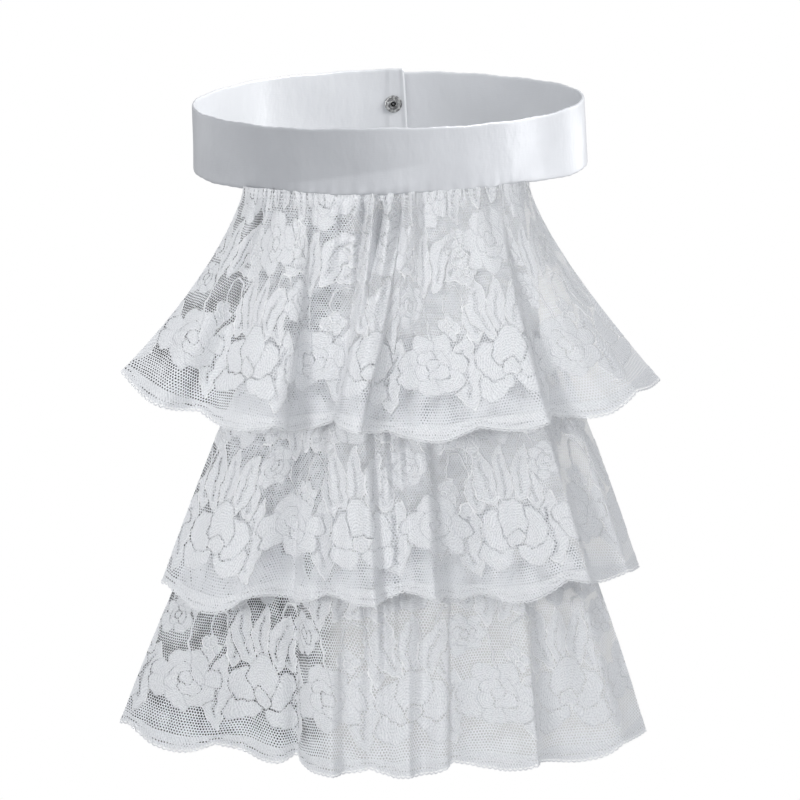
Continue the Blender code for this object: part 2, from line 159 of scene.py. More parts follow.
@dataclass
class LaceChart:
    """The lace's pattern, worked out for any place on a strip.

    Attributes:
        repeat: length of strip after which the figures come again.
        scallop_width: one scallop along the strip.
        scallop_depth: how far a scallop hangs below its ends.
        border: height of the border's edge, below its row of slits.
        holes_top: top of the slits.
        ribbon_top: top of the ribbon at the ends of a scallop.
        ribbon_swell: how much wider it is in the middle of one.
        parting: net that shows round a figure that lies on another.
        inset: how far a figure's bright cord lies inside its edge.
        ribbon_slant: how much the ribs of the ribbon lean with the height.
        rose_lobes, rose_petals: how many, and how far every second lobe or each petal is turned on.
        rose_middle, rose_heart, blossom_heart: round middles, as shares of the figure's radius.
        rose_parting, blossom_parting: how much of the usual parting they have inside.
        poppy_heart: how far up it lies, and half its length and width, as shares of the radius.
        heart_inset: how far its bright cord lies inside its edge.
        leaf_bow: how far a leaf bows, as a share of its length.
        leaf_ribs: how far its ribs lean back, and how close they lie.
        ladder_up: how far the row of holes lies off a leaf's middle line.
        far: a distance that means nothing is near.
        drift, lift: how far the hand-drawn lines waver along the strip and up it.
    """

    repeat: float = 74.0
    scallop_width: float = 37.0
    scallop_depth: float = 3.6
    border: float = 1.3
    holes_top: float = 2.5
    ribbon_top: float = 3.1
    ribbon_swell: float = 2.6
    hole_pitch: float = 1.25
    hole_width: float = 0.7
    stem_half: float = 0.55
    parting: float = 0.6
    inset: float = 0.25
    ladder_pitch: float = 1.3
    ladder_hole_half: float = 0.36
    ladder_half: float = 0.62
    ladder_reach: tuple = (0.18, 0.80)
    ladder_up: float = 0.1
    leaf_bow: float = 0.08
    leaf_ribs: tuple = (0.8, 0.9)
    ribbon_slant: float = 0.6
    far: float = 50.0
    drift: tuple = (Ripple(0.8, 11.0, 2.9), Ripple(0.3, 2.3, 0.9))
    lift: tuple = (Ripple(0.8, 2.7, -9.0, 1.0), Ripple(0.3, 0.8, -2.1))
    rose_lobe: Petal = Petal(0.62, 0.38, 0.36)
    rose_lobes: tuple = (7, 0.15)
    rose_petal: Petal = Petal(0.30, 0.22, 0.30)
    rose_petals: tuple = (4, 0.3)
    rose_middle: float = 0.5
    rose_heart: float = 0.19
    rose_parting: float = 0.8
    blossom_petal: Petal = Petal(0.56, 0.48, 0.42)
    blossom_petals: int = 5
    blossom_heart: float = 0.2
    blossom_parting: float = 0.6
    poppy_heart: tuple = (0.05, 0.24, 0.17)
    heart_inset: float = 0.3
    poppy_petals: tuple = (Petal(0.52, 0.46, 0.36, 200.0), Petal(0.52, 0.46, 0.36, -20.0),
                           Petal(0.54, 0.46, 0.40, 148.0), Petal(0.54, 0.46, 0.40, 32.0),
                           Petal(0.50, 0.46, 0.42, 90.0))

    def scallop(self, along: Array) -> Array:
        """0 at the ends of a scallop and 1 in its middle."""
        return np.abs(np.sin(math.pi * along / self.scallop_width))

    def drop(self, along: Array) -> Array:
        """How far the hem hangs below its mean line, negative at the ends of a scallop."""
        return self.scallop_depth * (self.scallop(along) - 2.0 / math.pi)

    def chart(self, along: Array, up: Array, shift: float) -> dict[str, Array]:
        """Works out the pattern.

        Args:
            along: distance along the strip from the start of a scallop.
            up: height above the hem's mean line, as cut.
            shift: how far the figures are moved along the strip.

        Returns:
            "solid", the signed distance to the close-worked cloth; "cord", the distance to the nearest
            outlining cord; "lap", the distance to the nearest line where one petal lies on another;
            "rib", the place across the ribs of the close work.
        """
        solid, cord, lap = (np.full(along.shape, self.far) for _ in range(3))
        rib = np.zeros(along.shape)
        drawn = along + shift + waves(self.drift, along, up)
        raised = up + waves(self.lift, along, up)
        for motif in REPEAT:
            x = (drawn - motif.along + self.repeat / 2) % self.repeat - self.repeat / 2
            y = (raised - motif.up) / (motif.width if motif.kind is MotifKind.ROSE else 1.0)
            draw = getattr(self, motif.kind.value)
            for part in draw(motif, *self.turned(x, y, math.radians(motif.turn))):
                if part.parting > 0.0:
                    solid = np.maximum(solid, part.parting - part.shape)
                cord = np.minimum(np.maximum(cord, -part.shape), part.cord)
                lap = np.minimum(np.maximum(lap, -part.shape), np.abs(part.shape))
                rib = np.where(part.shape < solid, part.rib, rib)
                solid = np.minimum(solid, part.shape)
        return self.edge(along, up, {"solid": solid, "cord": cord, "lap": lap, "rib": rib})

    def edge(self, along: Array, up: Array, made: dict[str, Array]) -> dict[str, Array]:
        """Lays the scalloped ribbon, with its row of slits and its edge, over the figures.

        Args:
            along: distance along the strip.
            up: height above the hem's mean line.
            made: the figures' pattern, as chart gives it.

        Returns:
            The same with the ribbon over it.
        """
        height = up + self.drop(along)
        phase = (along % self.hole_pitch) - self.hole_pitch / 2
        middle = (self.border + self.holes_top) / 2
        holes = np.maximum(np.abs(phase) - self.hole_width / 2,
                           np.abs(height - middle) - (self.holes_top - self.border) / 2)
        clear = height - (self.ribbon_top + self.ribbon_swell * self.scallop(along))
        solid = np.maximum(made["solid"], -clear)
        cord, lap = (np.where(clear > 0.0, made[name], self.far) for name in ("cord", "lap"))
        strip = np.maximum(clear, -holes)
        rib = np.where(strip < solid, along + self.ribbon_slant * height, made["rib"])
        cord = np.minimum(cord, np.abs(height - self.inset))
        return {"solid": np.minimum(solid, strip), "cord": cord, "lap": lap, "rib": rib}

    @staticmethod
    def turned(x: Array, y: Array, angle: float) -> tuple[Array, Array]:
        """Places as seen from a figure that is turned by an angle."""
        return x * math.cos(angle) + y * math.sin(angle), y * math.cos(angle) - x * math.sin(angle)

    @staticmethod
    def ellipse(x: Array, y: Array, half_x: float, half_y: float) -> Array:
        """Signed distance, nearly, to an ellipse's edge.

        Args:
            x: distance from its centre, along it.
            y: distance across it.
            half_x: half its length.
            half_y: half its width.

        Returns:
            The distance, negative inside.
        """
        reach = np.hypot(x / half_x, y / half_y)
        slope = np.hypot(x / half_x**2, y / half_y**2) + 1e-6
        return reach * (reach - 1.0) / slope

    @staticmethod
    def bow(x: Array, length: float, height: float) -> Array:
        """How far a bowed line stands off the straight one between its ends."""
        return height * np.sin(np.clip(x / length, 0.0, 1.0) * math.pi)

    def petal(self, petal: Petal, size: float, x: Array, y: Array, turn: float = 0.0) -> Array:
        """Signed distance to a petal of a figure.

        Args:
            petal: the petal.
            size: the figure's radius.
            x: distance from the figure's centre, along it.
            y: distance across it.
            turn: a further turn, in radians.

        Returns:
            The distance.
        """
        px, py = self.turned(x, y, turn + math.radians(petal.turn))
        return self.ellipse(px - petal.reach * size, py, petal.half_long * size, petal.half_wide * size)

    def rose(self, motif: Motif, x: Array, y: Array) -> list[Part]:
        """Seven round lobes, four inner petals, every second one parted by net, and a heart.

        Args:
            motif: the figure.
            x: distance from its centre or base, along it.
            y: distance across it.

        Returns:
            Its shapes, the lowest first.
        """
        plain, centre, size = np.full(x.shape, self.far), np.hypot(x, y), motif.size
        count, extra = self.rose_lobes
        turns = (FULL_TURN * (n + extra * (n % 2)) / count for n in range(count))
        lobes = [self.petal(self.rose_lobe, size, x, y, turn) for turn in turns]
        whole = np.minimum(np.minimum.reduce(lobes), centre - self.rose_middle * size)
        parts = [Part(whole, plain, centre, self.parting)]
        parts += [Part(lobe, plain, centre, 0.0) for lobe in lobes]
        count, extra = self.rose_petals
        for n in range(count):
            inner = self.petal(self.rose_petal, size, x, y, FULL_TURN * (n + extra) / count)
            parts.append(Part(inner, plain, centre, self.parting * self.rose_parting if n % 2 else 0.0))
        return parts + [Part(centre - self.rose_heart * size, plain, centre, self.parting)]

    def poppy(self, motif: Motif, x: Array, y: Array) -> list[Part]:
        """Five broad petals, each parted from the next by net, and a heart.

        Args:
            motif: the figure.
            x: distance from its centre or base, along it.
            y: distance across it.

        Returns:
            Its shapes, the lowest first.
        """
        plain, centre, size = np.full(x.shape, self.far), np.hypot(x, y), motif.size
        up, half_long, half_wide = self.poppy_heart
        heart = self.ellipse(x, y - up * size, half_long * size, half_wide * size)
        petals = (self.petal(petal, size, x, y) for petal in self.poppy_petals)
        parts = [Part(petal, plain, centre, self.parting) for petal in petals]
        return parts + [Part(heart, np.abs(heart + self.heart_inset), centre, self.parting)]

    def leaf(self, motif: Motif, x: Array, y: Array) -> list[Part]:
        """A bowed, pointed leaf, ribbed, with a ladder of holes along its middle.

        Args:
            motif: the figure.
            x: distance from its centre or base, along it.
            y: distance across it.

        Returns:
            Its shapes, the lowest first.
        """
        size, half, half_wide = motif.size, motif.size / 2, motif.width / 2
        reach = (half**2 + half_wide**2) / motif.width
        y = y - self.bow(x, size, self.leaf_bow * size)
        shape = np.hypot(x - half, np.abs(y) + reach - half_wide) - reach
        rung = np.abs((x % self.ladder_pitch) - self.ladder_pitch / 2) - self.ladder_hole_half
        start, end = (share * size for share in self.ladder_reach)
        beside = np.abs(y - self.ladder_up) - self.ladder_half
        row = np.maximum(beside, np.maximum(start - x, x - end))
        pierced = np.maximum(shape, -np.maximum(rung, row))
        slant, closeness = self.leaf_ribs
        ribs = (x - slant * np.abs(y)) * closeness
        return [Part(pierced, np.abs(shape + self.inset), ribs, self.parting)]

    def blossom(self, motif: Motif, x: Array, y: Array) -> list[Part]:
        """Five round petals and a bead.

        Args:
            motif: the figure.
            x: distance from its centre or base, along it.
            y: distance across it.

        Returns:
            Its shapes, the lowest first.
        """
        centre, parts, parting = np.hypot(x, y), [], self.parting * self.blossom_parting
        for n in range(self.blossom_petals):
            petal = self.petal(self.blossom_petal, motif.size, x, y, FULL_TURN * n / self.blossom_petals)
            parts.append(Part(petal, np.abs(petal + self.inset), centre, 0.0 if n else parting))
        heart = centre - motif.size * self.blossom_heart
        return parts + [Part(heart, np.abs(heart), heart, parting)]

    def oval(self, motif: Motif, x: Array, y: Array) -> list[Part]:
        """A thin oval ring."""
        return self.line(np.abs(self.ellipse(x, y, motif.size, motif.width)))

    def stem(self, motif: Motif, x: Array, y: Array) -> list[Part]:
        """A thin bowed line."""
        past = np.maximum(np.maximum(-x, x - motif.size), 0.0)
        return self.line(np.hypot(y - self.bow(x, motif.size, motif.width), past))

    def line(self, away: Array) -> list[Part]:
        """A thin line of close work that is all cord, from the distance to its middle."""
        return [Part(away - self.stem_half, away, away, 0.0)]


class Graph:
    """The node tree of a material or a surround, with short ways to add and join its nodes."""

    def __init__(self, name: str, blocks: bpy.types.bpy_prop_collection | None = None) -> None:
        """Starts an empty tree.

        Args:
            name: the name of the material or surround.
            blocks: where the file keeps its kind, the materials unless given.
        """
        self.owner = (bpy.data.materials if blocks is None else blocks).new(name)
        self.owner.use_nodes = True
        self.tree = self.owner.node_tree
        self.tree.nodes.clear()

    def add(self, kind: str, *values: Value, **inputs: Value | str) -> bpy.types.Node:
        """Adds a node.

        Args:
            kind: the node's type name after its first word, ShaderNode.
            *values: values or sockets for its first inputs.
            **inputs: its own properties, and values or sockets for its other inputs, with _ for a space in
                an input's name and in6, in7 for places.

        Returns:
            The node.
        """
        node = self.tree.nodes.new("ShaderNode" + kind)
        for key, value in (*inputs.items(), *((f"in{n}", value) for n, value in enumerate(values))):
            if hasattr(node, key):
                setattr(node, key, value)
                continue
            socket = node.inputs[int(key[2:]) if key.startswith("in") else key.replace("_", " ")]
            if isinstance(value, Socket):
                self.tree.links.new(value, socket)
            else:
                socket.default_value = value
        return node

    def math(self, operation: str, *values: Value) -> Socket:
        """A Math node on up to three values or sockets."""
        return self.add("Math", *values, operation=operation).outputs[0]

    def scaled(self, value: Value, factor: Value, extra: Value = 0.0) -> Socket:
        """A value times a factor, plus something extra."""
        return self.math("MULTIPLY_ADD", value, factor, extra)

    def vector(self, operation: str, *values: Value) -> Socket:
        """A Vector Math node on up to three vectors or sockets."""
        output = "Value" if operation == "DOT_PRODUCT" else "Vector"
        return self.add("VectorMath", *values, operation=operation).outputs[output]

    def ramp(self, value: Value, start: float, end: float, low: float, high: float) -> Socket:
        """A straight ramp from low at start to high at end, level beyond them."""
        return self.add("MapRange", value, start, end, low, high).outputs[0]

    def step(self, value: Value, start: float, end: float) -> Socket:
        """A smooth step from 0 at start to 1 at end."""
        return self.add("MapRange", value, start, end, interpolation_type="SMOOTHSTEP").outputs[0]

    def attribute(self, name: str) -> Socket:
        """A number that the mesh carries at its points."""
        return self.add("Attribute", attribute_name=name).outputs["Fac"]

    def object_place(self) -> Socket:
        """The place in the object's own metres."""
        return self.add("TexCoord").outputs["Object"]

    def axes(self, place: Value) -> bpy.types.NodeOutputs:
        """A place's X, Y and Z."""
        return self.add("SeparateXYZ", place).outputs

    def cut_place(self) -> Socket:
        """The place on the cloth as cut, in millimetres, moved clear of zero."""
        place = self.add("UVMap", uv_map="cut").outputs[0]
        return self.vector("MULTIPLY_ADD", place, (1.0 / METRES,) * 3, (CUT_SHIFT,) * 3)

    def noise(self, place: Value, scale: float, detail: float, output: str = "Fac") -> Socket:
        """A noise value, or a noise colour, at a place."""
        return self.add("TexNoise", place, Scale=scale, Detail=detail).outputs[output]

    def mix(self, factor: Value, low: Value, high: Value) -> Socket:
        """A colour between low and high."""
        return self.add("Mix", factor, data_type="RGBA", in6=low, in7=high).outputs[2]

    def bump(self, height: Value, strength: float, distance: float) -> Socket:
        """A normal that follows a height."""
        return self.add("Bump", strength, distance, Height=height).outputs[0]

    def net(self, place: Value, pitch: float) -> Socket:
        """Distance from the nearest thread of a six-sided net.

        Args:
            place: place on the cloth in millimetres.
            pitch: distance between the middles of two holes.

        Returns:
            The distance in millimetres.
        """
        half = (0.5, math.sqrt(3.0) / 2, 0.5)
        cell = tuple(2.0 * side for side in half)
        slant, level = (*half[:2], 0.0), (1.0, 0.0, 0.0)
        scaled = self.vector("MULTIPLY", place, (1.0 / pitch, 1.0 / pitch, 0.0))
        reaches = []
        for start in (scaled, self.vector("ADD", scaled, half)):
            offset = self.vector("SUBTRACT", self.vector("MODULO", start, cell), half)
            offset = self.vector("ABSOLUTE", self.vector("MULTIPLY", offset, (1.0, 1.0, 0.0)))
            sides = (self.vector("DOT_PRODUCT", offset, line) for line in (slant, level))
            reaches.append(self.math("MAXIMUM", *sides))
        return self.math("MULTIPLY", self.math("SUBTRACT", 0.5, self.math("MINIMUM", *reaches)), pitch)

    def threads(self, away: Value, half: Value) -> Socket:
        """1 on a net's threads and 0 in its holes, from how far away their middle is."""
        return self.math("SUBTRACT", 1.0, self.step(self.math("SUBTRACT", away, half), *THREAD_EDGE))

    def finish(self, **inputs: Value) -> Finish:
        """Joins a Principled shader to the output and returns the material."""
        self.add("OutputMaterial", self.add("BsdfPrincipled", **inputs).outputs[0])
        return self.owner


@dataclass(frozen=True)
class LaceFinish:
    """White machine lace: close-worked figures and bright cords on a six-sided net.

    Attributes:
        thread_half, slack: a net thread's half width, and how far it varies either way.
        pull_noise, slack_noise, grain_noise: the scale and detail of what pulls the cells about, what
            varies the threads and what mottles the close work.
        wander: how far the net's cells are pulled about.
        hem_band: heights on the cut map between which the net closes towards the hem.
        hem_closer: how much wider the threads are below them.
        work_edge, cord_edge, lap_edge: the distances over which each shows: close work from its edge, a
            cord past its half width either way, and a lap from its line.
        cord_inside: depths in the close work between which a cord comes clear of the net.
        thin, mottled: grain between which the work thickens, and between which its tone rises.
        body: how see-through the close work is, thinnest and what thicker places add.
        worked: its tone at thin places, what thick ones add, what a rib changes, and how much a lap
        darkens it, painted shade along the line where one petal lies on another.
        cord_share: how much of the cords' own colour shows.
        relief: how high the work, a rib, a lap, the net and the grain stand against a cord's 1.
        bump: the relief's strength, and its depth in metres.
    """

    name: str = "white_lace"
    net_pitch: float = 1.18
    thread_half: float = 0.19
    slack: float = 0.22
    hem_band: tuple = (116.0, 108.0)
    hem_closer: float = 0.10
    cord_half: float = 0.26
    rib_pitch: float = 1.05
    pull_noise: tuple = (0.16, 2.0)
    slack_noise: tuple = (0.13, 3.0)
    grain_noise: tuple = (1.6, 2.0)
    wander: tuple = (0.9, 0.9, 0.0)
    work_edge: tuple = (0.10, -0.10)
    cord_edge: float = 0.08
    cord_inside: tuple = (0.5, 0.2)
    lap_edge: tuple = (0.5, 0.1)
    thin: tuple = (0.28, 0.55)
    mottled: tuple = (0.3, 0.7)
    body: tuple = (0.87, 0.12)
    worked: tuple = (0.35, 0.55, 0.2, 0.5)
    cord_share: float = 0.9
    relief: tuple = (0.55, 0.2, -0.5, 0.3, 0.35)
    bump: tuple = (0.75, 0.00028)
    figure_colour: tuple = (0.867, 0.875, 0.889, 1.0)
    grain_colour: tuple = (0.60, 0.61, 0.635, 1.0)
    net_colour: tuple = (0.79, 0.80, 0.822, 1.0)
    cord_colour: tuple = (0.94, 0.945, 0.955, 1.0)

    def make(self) -> Finish:
        """Builds the finish.

        Returns:
            The material.
        """
        g = Graph(self.name)
        place = g.cut_place()
        moved = g.vector("MULTIPLY_ADD", g.noise(place, *self.pull_noise, "Color"), self.wander, place)
        half = g.scaled(g.noise(place, *self.slack_noise), 2.0 * self.slack, self.thread_half - self.slack)
        half = g.scaled(g.step(g.axes(place)["Y"], *self.hem_band), self.hem_closer, half)
        net = g.threads(g.net(moved, self.net_pitch), half)
        inside = g.attribute("solid")
        solid = g.step(inside, *self.work_edge)
        cord = g.step(g.attribute("cord"), self.cord_half + self.cord_edge, self.cord_half - self.cord_edge)
        cord = g.math("MULTIPLY", cord, g.step(inside, *self.cord_inside))
        rib = g.math("SINE", g.math("MULTIPLY", g.attribute("rib"), FULL_TURN / self.rib_pitch))
        grain = g.noise(place, *self.grain_noise)
        lap = g.step(g.attribute("lap"), *self.lap_edge)

        thinnest, thicker = self.body
        body = g.math("MULTIPLY", solid, g.scaled(g.step(grain, *self.thin), thicker, thinnest))
        cover = g.math("MAXIMUM", net, g.math("MAXIMUM", body, cord))

        thin, thick, ribbed, lapped = self.worked
        worked = g.scaled(rib, ribbed, g.scaled(g.step(grain, *self.mottled), thick, thin))
        # Painted shade: the tone darkens along the line where one petal lies on another; the relief dips
        # there too.
        worked = g.math("SUBTRACT", worked, g.math("MULTIPLY", lap, lapped))
        tone = g.mix(g.math("MAXIMUM", worked, 0.0), self.grain_colour, self.figure_colour)
        tone = g.mix(solid, self.net_colour, tone)
        tone = g.mix(g.math("MULTIPLY", cord, self.cord_share), tone, self.cord_colour)

        work, ribbed, lapped, netted, grained = self.relief
        weave = g.math("MULTIPLY", solid, g.scaled(rib, ribbed, g.scaled(lap, lapped, work)))
        height = g.math("ADD", g.math("MAXIMUM", weave, g.math("MULTIPLY", net, netted)), cord)
        bump = g.bump(g.scaled(grain, grained, height), *self.bump)
        return g.finish(Base_Color=tone, Alpha=cover, Normal=bump, Roughness=0.62, Sheen_Weight=0.25,
                        Sheen_Roughness=0.4)


@dataclass(frozen=True)
class NetFinish:
    """Plain close net, its fields as in the lace's finish."""

    name: str = "white_net"
    pitch: float = 0.95
    thread_half: float = 0.22
    slack: float = 0.05
    slack_noise: tuple = (0.15, 2.0)
    bump: tuple = (0.6, 0.0002)
    colour: tuple = (0.87, 0.88, 0.90, 1.0)

    def make(self) -> Finish:
        """Builds the finish.

        Returns:
            The material.
        """
        g = Graph(self.name)
        place = g.cut_place()
        half = g.scaled(g.noise(place, *self.slack_noise), 2.0 * self.slack, self.thread_half - self.slack)
        cover = g.threads(g.net(place, self.pitch), half)
        return g.finish(Base_Color=self.colour, Alpha=cover, Normal=g.bump(cover, *self.bump),
                        Roughness=0.75, Sheen_Weight=0.2)


@dataclass(frozen=True)
class SatinFinish:
    """White satin: fine cross ribs, faint slubs, a soft gloss and an inner face painted paler as painted
    light.

    Attributes:
        inside_starts, inside_blend: height on the cut map where the inner face's painted light begins,
        and over what.
        tone_noise, slub_noise, dent_noise: the scale and detail of each.
        toned: the noise over which the tone turns from the shade to the colour.
        relief: how high the slubs and the dents stand.
        gloss: how much rougher a slub is, and the least roughness.
        bump: the relief's strength, and its depth in metres.
    """

    name: str = "white_satin"
    colour: tuple = (0.67, 0.68, 0.705, 1.0)
    shade: tuple = (0.635, 0.645, 0.67, 1.0)
    # inside: the inner face's colour, painted paler than colour: painted light on the inside of the ring.
    inside: tuple = (0.79, 0.80, 0.82, 1.0)
    inside_starts: float = 137.0
    inside_blend: float = 1.5
    tone_noise: tuple = (0.05, 3.0)
    toned: tuple = (0.35, 0.7)
    slub_noise: tuple = (0.9, 4.0)
    dent_noise: tuple = (0.13, 3.0)
    slub_stretch: tuple = (0.35, 3.2, 1.0)
    dent_stretch: tuple = (1.0, 0.45, 1.0)
    relief: tuple = (0.08, 0.9)
    gloss: tuple = (0.10, 0.28)
    bump: tuple = (0.5, 0.0009)

    def make(self) -> Finish:
        """Builds the finish.

        Returns:
            The material.
        """
        g = Graph(self.name)
        place = g.cut_place()
        slub = g.noise(g.vector("MULTIPLY", place, self.slub_stretch), *self.slub_noise)
        dent = g.noise(g.vector("MULTIPLY", place, self.dent_stretch), *self.dent_noise)
        tone = g.mix(g.step(g.noise(place, *self.tone_noise), *self.toned), self.shade, self.colour)
        # Painted light: the inner face takes the paler inside colour.
        inside_painted_paler = g.step(g.axes(place)["Y"], self.inside_starts, self.inside_starts + self.inside_blend)
        slubbed, dented = self.relief
        height = g.scaled(slub, slubbed, g.math("MULTIPLY", dent, dented))
        return g.finish(Base_Color=g.mix(inside_painted_paler, tone, self.inside), Normal=g.bump(height, *self.bump),
                        Roughness=g.scaled(slub, *self.gloss), Sheen_Weight=0.1, Sheen_Roughness=0.4,
                        Metallic=0.25)


@dataclass(frozen=True)
class ThreadFinish:
    """Twisted white cotton thread, its twist a fine noise in the object's own metres."""

    name: str = "white_thread"
    colour: tuple = (0.88, 0.885, 0.90, 1.0)
    shade: tuple = (0.80, 0.81, 0.83, 1.0)
    twist_noise: tuple = (2600.0, 2.0)
    bump: tuple = (0.5, 0.0001)

    def make(self) -> Finish:
        """Builds the finish.

        Returns:
            The material.
        """
        g = Graph(self.name)
        twist = g.noise(g.object_place(), *self.twist_noise)
        return g.finish(Base_Color=g.mix(twist, self.shade, self.colour), Normal=g.bump(twist, *self.bump),
                        Roughness=0.6, Sheen_Weight=0.2)


@dataclass(frozen=True)
class NickelFinish:
    """Plated stamping with dull spots and fine scratches.

    Attributes:
        spot_noise, scratch_noise: the scale and detail of each.
        spotted: the noise over which the metal turns from worn to bright.
        gloss: how much rougher a scratch is, and the least roughness.
        bump: the scratches' strength, and their depth in metres.
    """

    name: str = "dull_nickel"
    bright: tuple = (0.66, 0.66, 0.65, 1.0)
    worn: tuple = (0.22, 0.22, 0.22, 1.0)
    spot_noise: tuple = (900.0, 4.0)
    spotted: tuple = (0.38, 0.66)
    scratch_stretch: tuple = (9000.0, 700.0, 1500.0)
    scratch_noise: tuple = (1.0, 2.0)
    gloss: tuple = (0.25, 0.24)
    bump: tuple = (0.25, 0.00003)

    def make(self) -> Finish:
        """Builds the finish.

        Returns:
            The material.
        """
        g = Graph(self.name)
        place = g.object_place()
        spots = g.step(g.noise(place, *self.spot_noise), *self.spotted)
        scratch = g.noise(g.vector("MULTIPLY", place, self.scratch_stretch), *self.scratch_noise)
        return g.finish(Base_Color=g.mix(spots, self.worn, self.bright), Metallic=1.0,
                        Roughness=g.scaled(scratch, *self.gloss), Normal=g.bump(scratch, *self.bump))


def mix(start: float, end: float, share: float) -> float:
    """The value that lies `share` of the way from start to end."""
    return start + (end - start) * share


def ease(share: Array) -> Array:
    """A smooth step from 0 to 1."""
    share = np.clip(share, 0.0, 1.0)
    return share * share * (3.0 - 2.0 * share)


class Blend(NamedTuple):
    """A smooth step from 0 to 1: where it starts, and over what length it rises."""

    start: float
    over: float

    def at(self, place: Array) -> Array:
        """How far it has risen at a place."""
        return ease((place - self.start) / self.over)


def fade(away: Array, hold: float, blend: float) -> Array:
    """1 up to a distance `hold`, and from there smoothly down to 0 over `blend`."""
    return 1.0 - ease((away - hold) / blend)


def distances(points: Array) -> Array:
    """How far each point of a path lies along it, from 0."""
    return np.concatenate([[0.0], np.cumsum(np.linalg.norm(np.diff(points, axis=0), axis=1))])


def unit(vectors: Array) -> Array:
    """Vectors shortened or lengthened to 1."""
    return vectors / (np.linalg.norm(vectors, axis=-1, keepdims=True) + 1e-12)


def surface_normals(points: Array) -> Array:
    """Unit normals of a grid of points, from the columns' direction crossed with the rows'."""
    return unit(np.cross(np.gradient(points, axis=1), np.gradient(points, axis=0)))


def add_mesh(name: str, points: Array, faces: Array, material: Finish) -> Piece:
    """Makes a smooth object from millimetre points.

    Args:
        name: the piece's name.
        points: places, shape (count, 3).
        faces: corner numbers of four-sided faces, shape (count, 4).
        material: its finish.

    Returns:
        The object, at the origin.
    """
    mesh = bpy.data.meshes.new(name)
    mesh.from_pydata((points * METRES).tolist(), [], faces.tolist())
    mesh.materials.append(material)
    mesh.shade_smooth()
    piece = bpy.data.objects.new(name, mesh)
    bpy.context.scene.collection.objects.link(piece)
    return piece


def grid_faces(rows: int, columns: int, wrap: bool = False) -> Array:
    """Four-sided faces between the rows and columns of a grid.

    Args:
        rows: points down the grid.
        columns: points across it.
        wrap: whether each row closes on itself.

    Returns:
        Corner numbers, shape (count, 4).
    """
    across = columns if wrap else columns - 1
    row, column = np.meshgrid(np.arange(rows - 1), np.arange(across), indexing="ij")
    here, after = row * columns + column, row * columns + (column + 1) % columns
    return np.stack([corner.ravel() for corner in (here, here + columns, after + columns, after)], axis=1)


def set_cut_map(piece: Piece, along: Array, up: Array) -> None:
    """Gives a piece the UV map that holds each point's place on the cut cloth, in metres.

    Args:
        piece: the piece.
        along: each point's place along the cloth, in millimetres.
        up: the same, up the cloth.
    """
    mesh = piece.data
    layer = mesh.uv_layers.new(name="cut")
    corners = np.empty(len(mesh.loops), dtype=np.int32)
    mesh.loops.foreach_get("vertex_index", corners)
    place = np.stack([along.ravel()[corners], up.ravel()[corners]], axis=1) * METRES
    layer.data.foreach_set("uv", place.ravel().astype(np.float32))


def set_numbers(piece: Piece, **numbers: Array) -> None:
    """Gives each point of a piece one or more named numbers.

    Args:
        piece: the piece.
        **numbers: a value for each point, under its name.
    """
    for name, values in numbers.items():
        layer = piece.data.attributes.new(name, "FLOAT", "POINT")
        layer.data.foreach_set("value", values.ravel().astype(np.float32))


def tube(path: Array, radii: Array, sides: int) -> tuple[Array, Array]:
    """A closed tube along a path.

    Args:
        path: middles, shape (count, 3).
        radii: the tube's radius at each.
        sides: corners round it.

    Returns:
        Its points and faces.
    """
    along = unit(np.gradient(path, axis=0))
    side = unit(np.cross(along, np.array([0.0, 1.0, 0.0])))
    angle = (FULL_TURN * np.arange(sides) / sides)[None, :, None]
    ring = side[:, None, :] * np.cos(angle) + np.cross(side, along)[:, None, :] * np.sin(angle)
    points = (path[:, None, :] + ring * radii[:, None, None]).reshape(-1, 3)
    return points, grid_faces(len(path), sides, wrap=True)


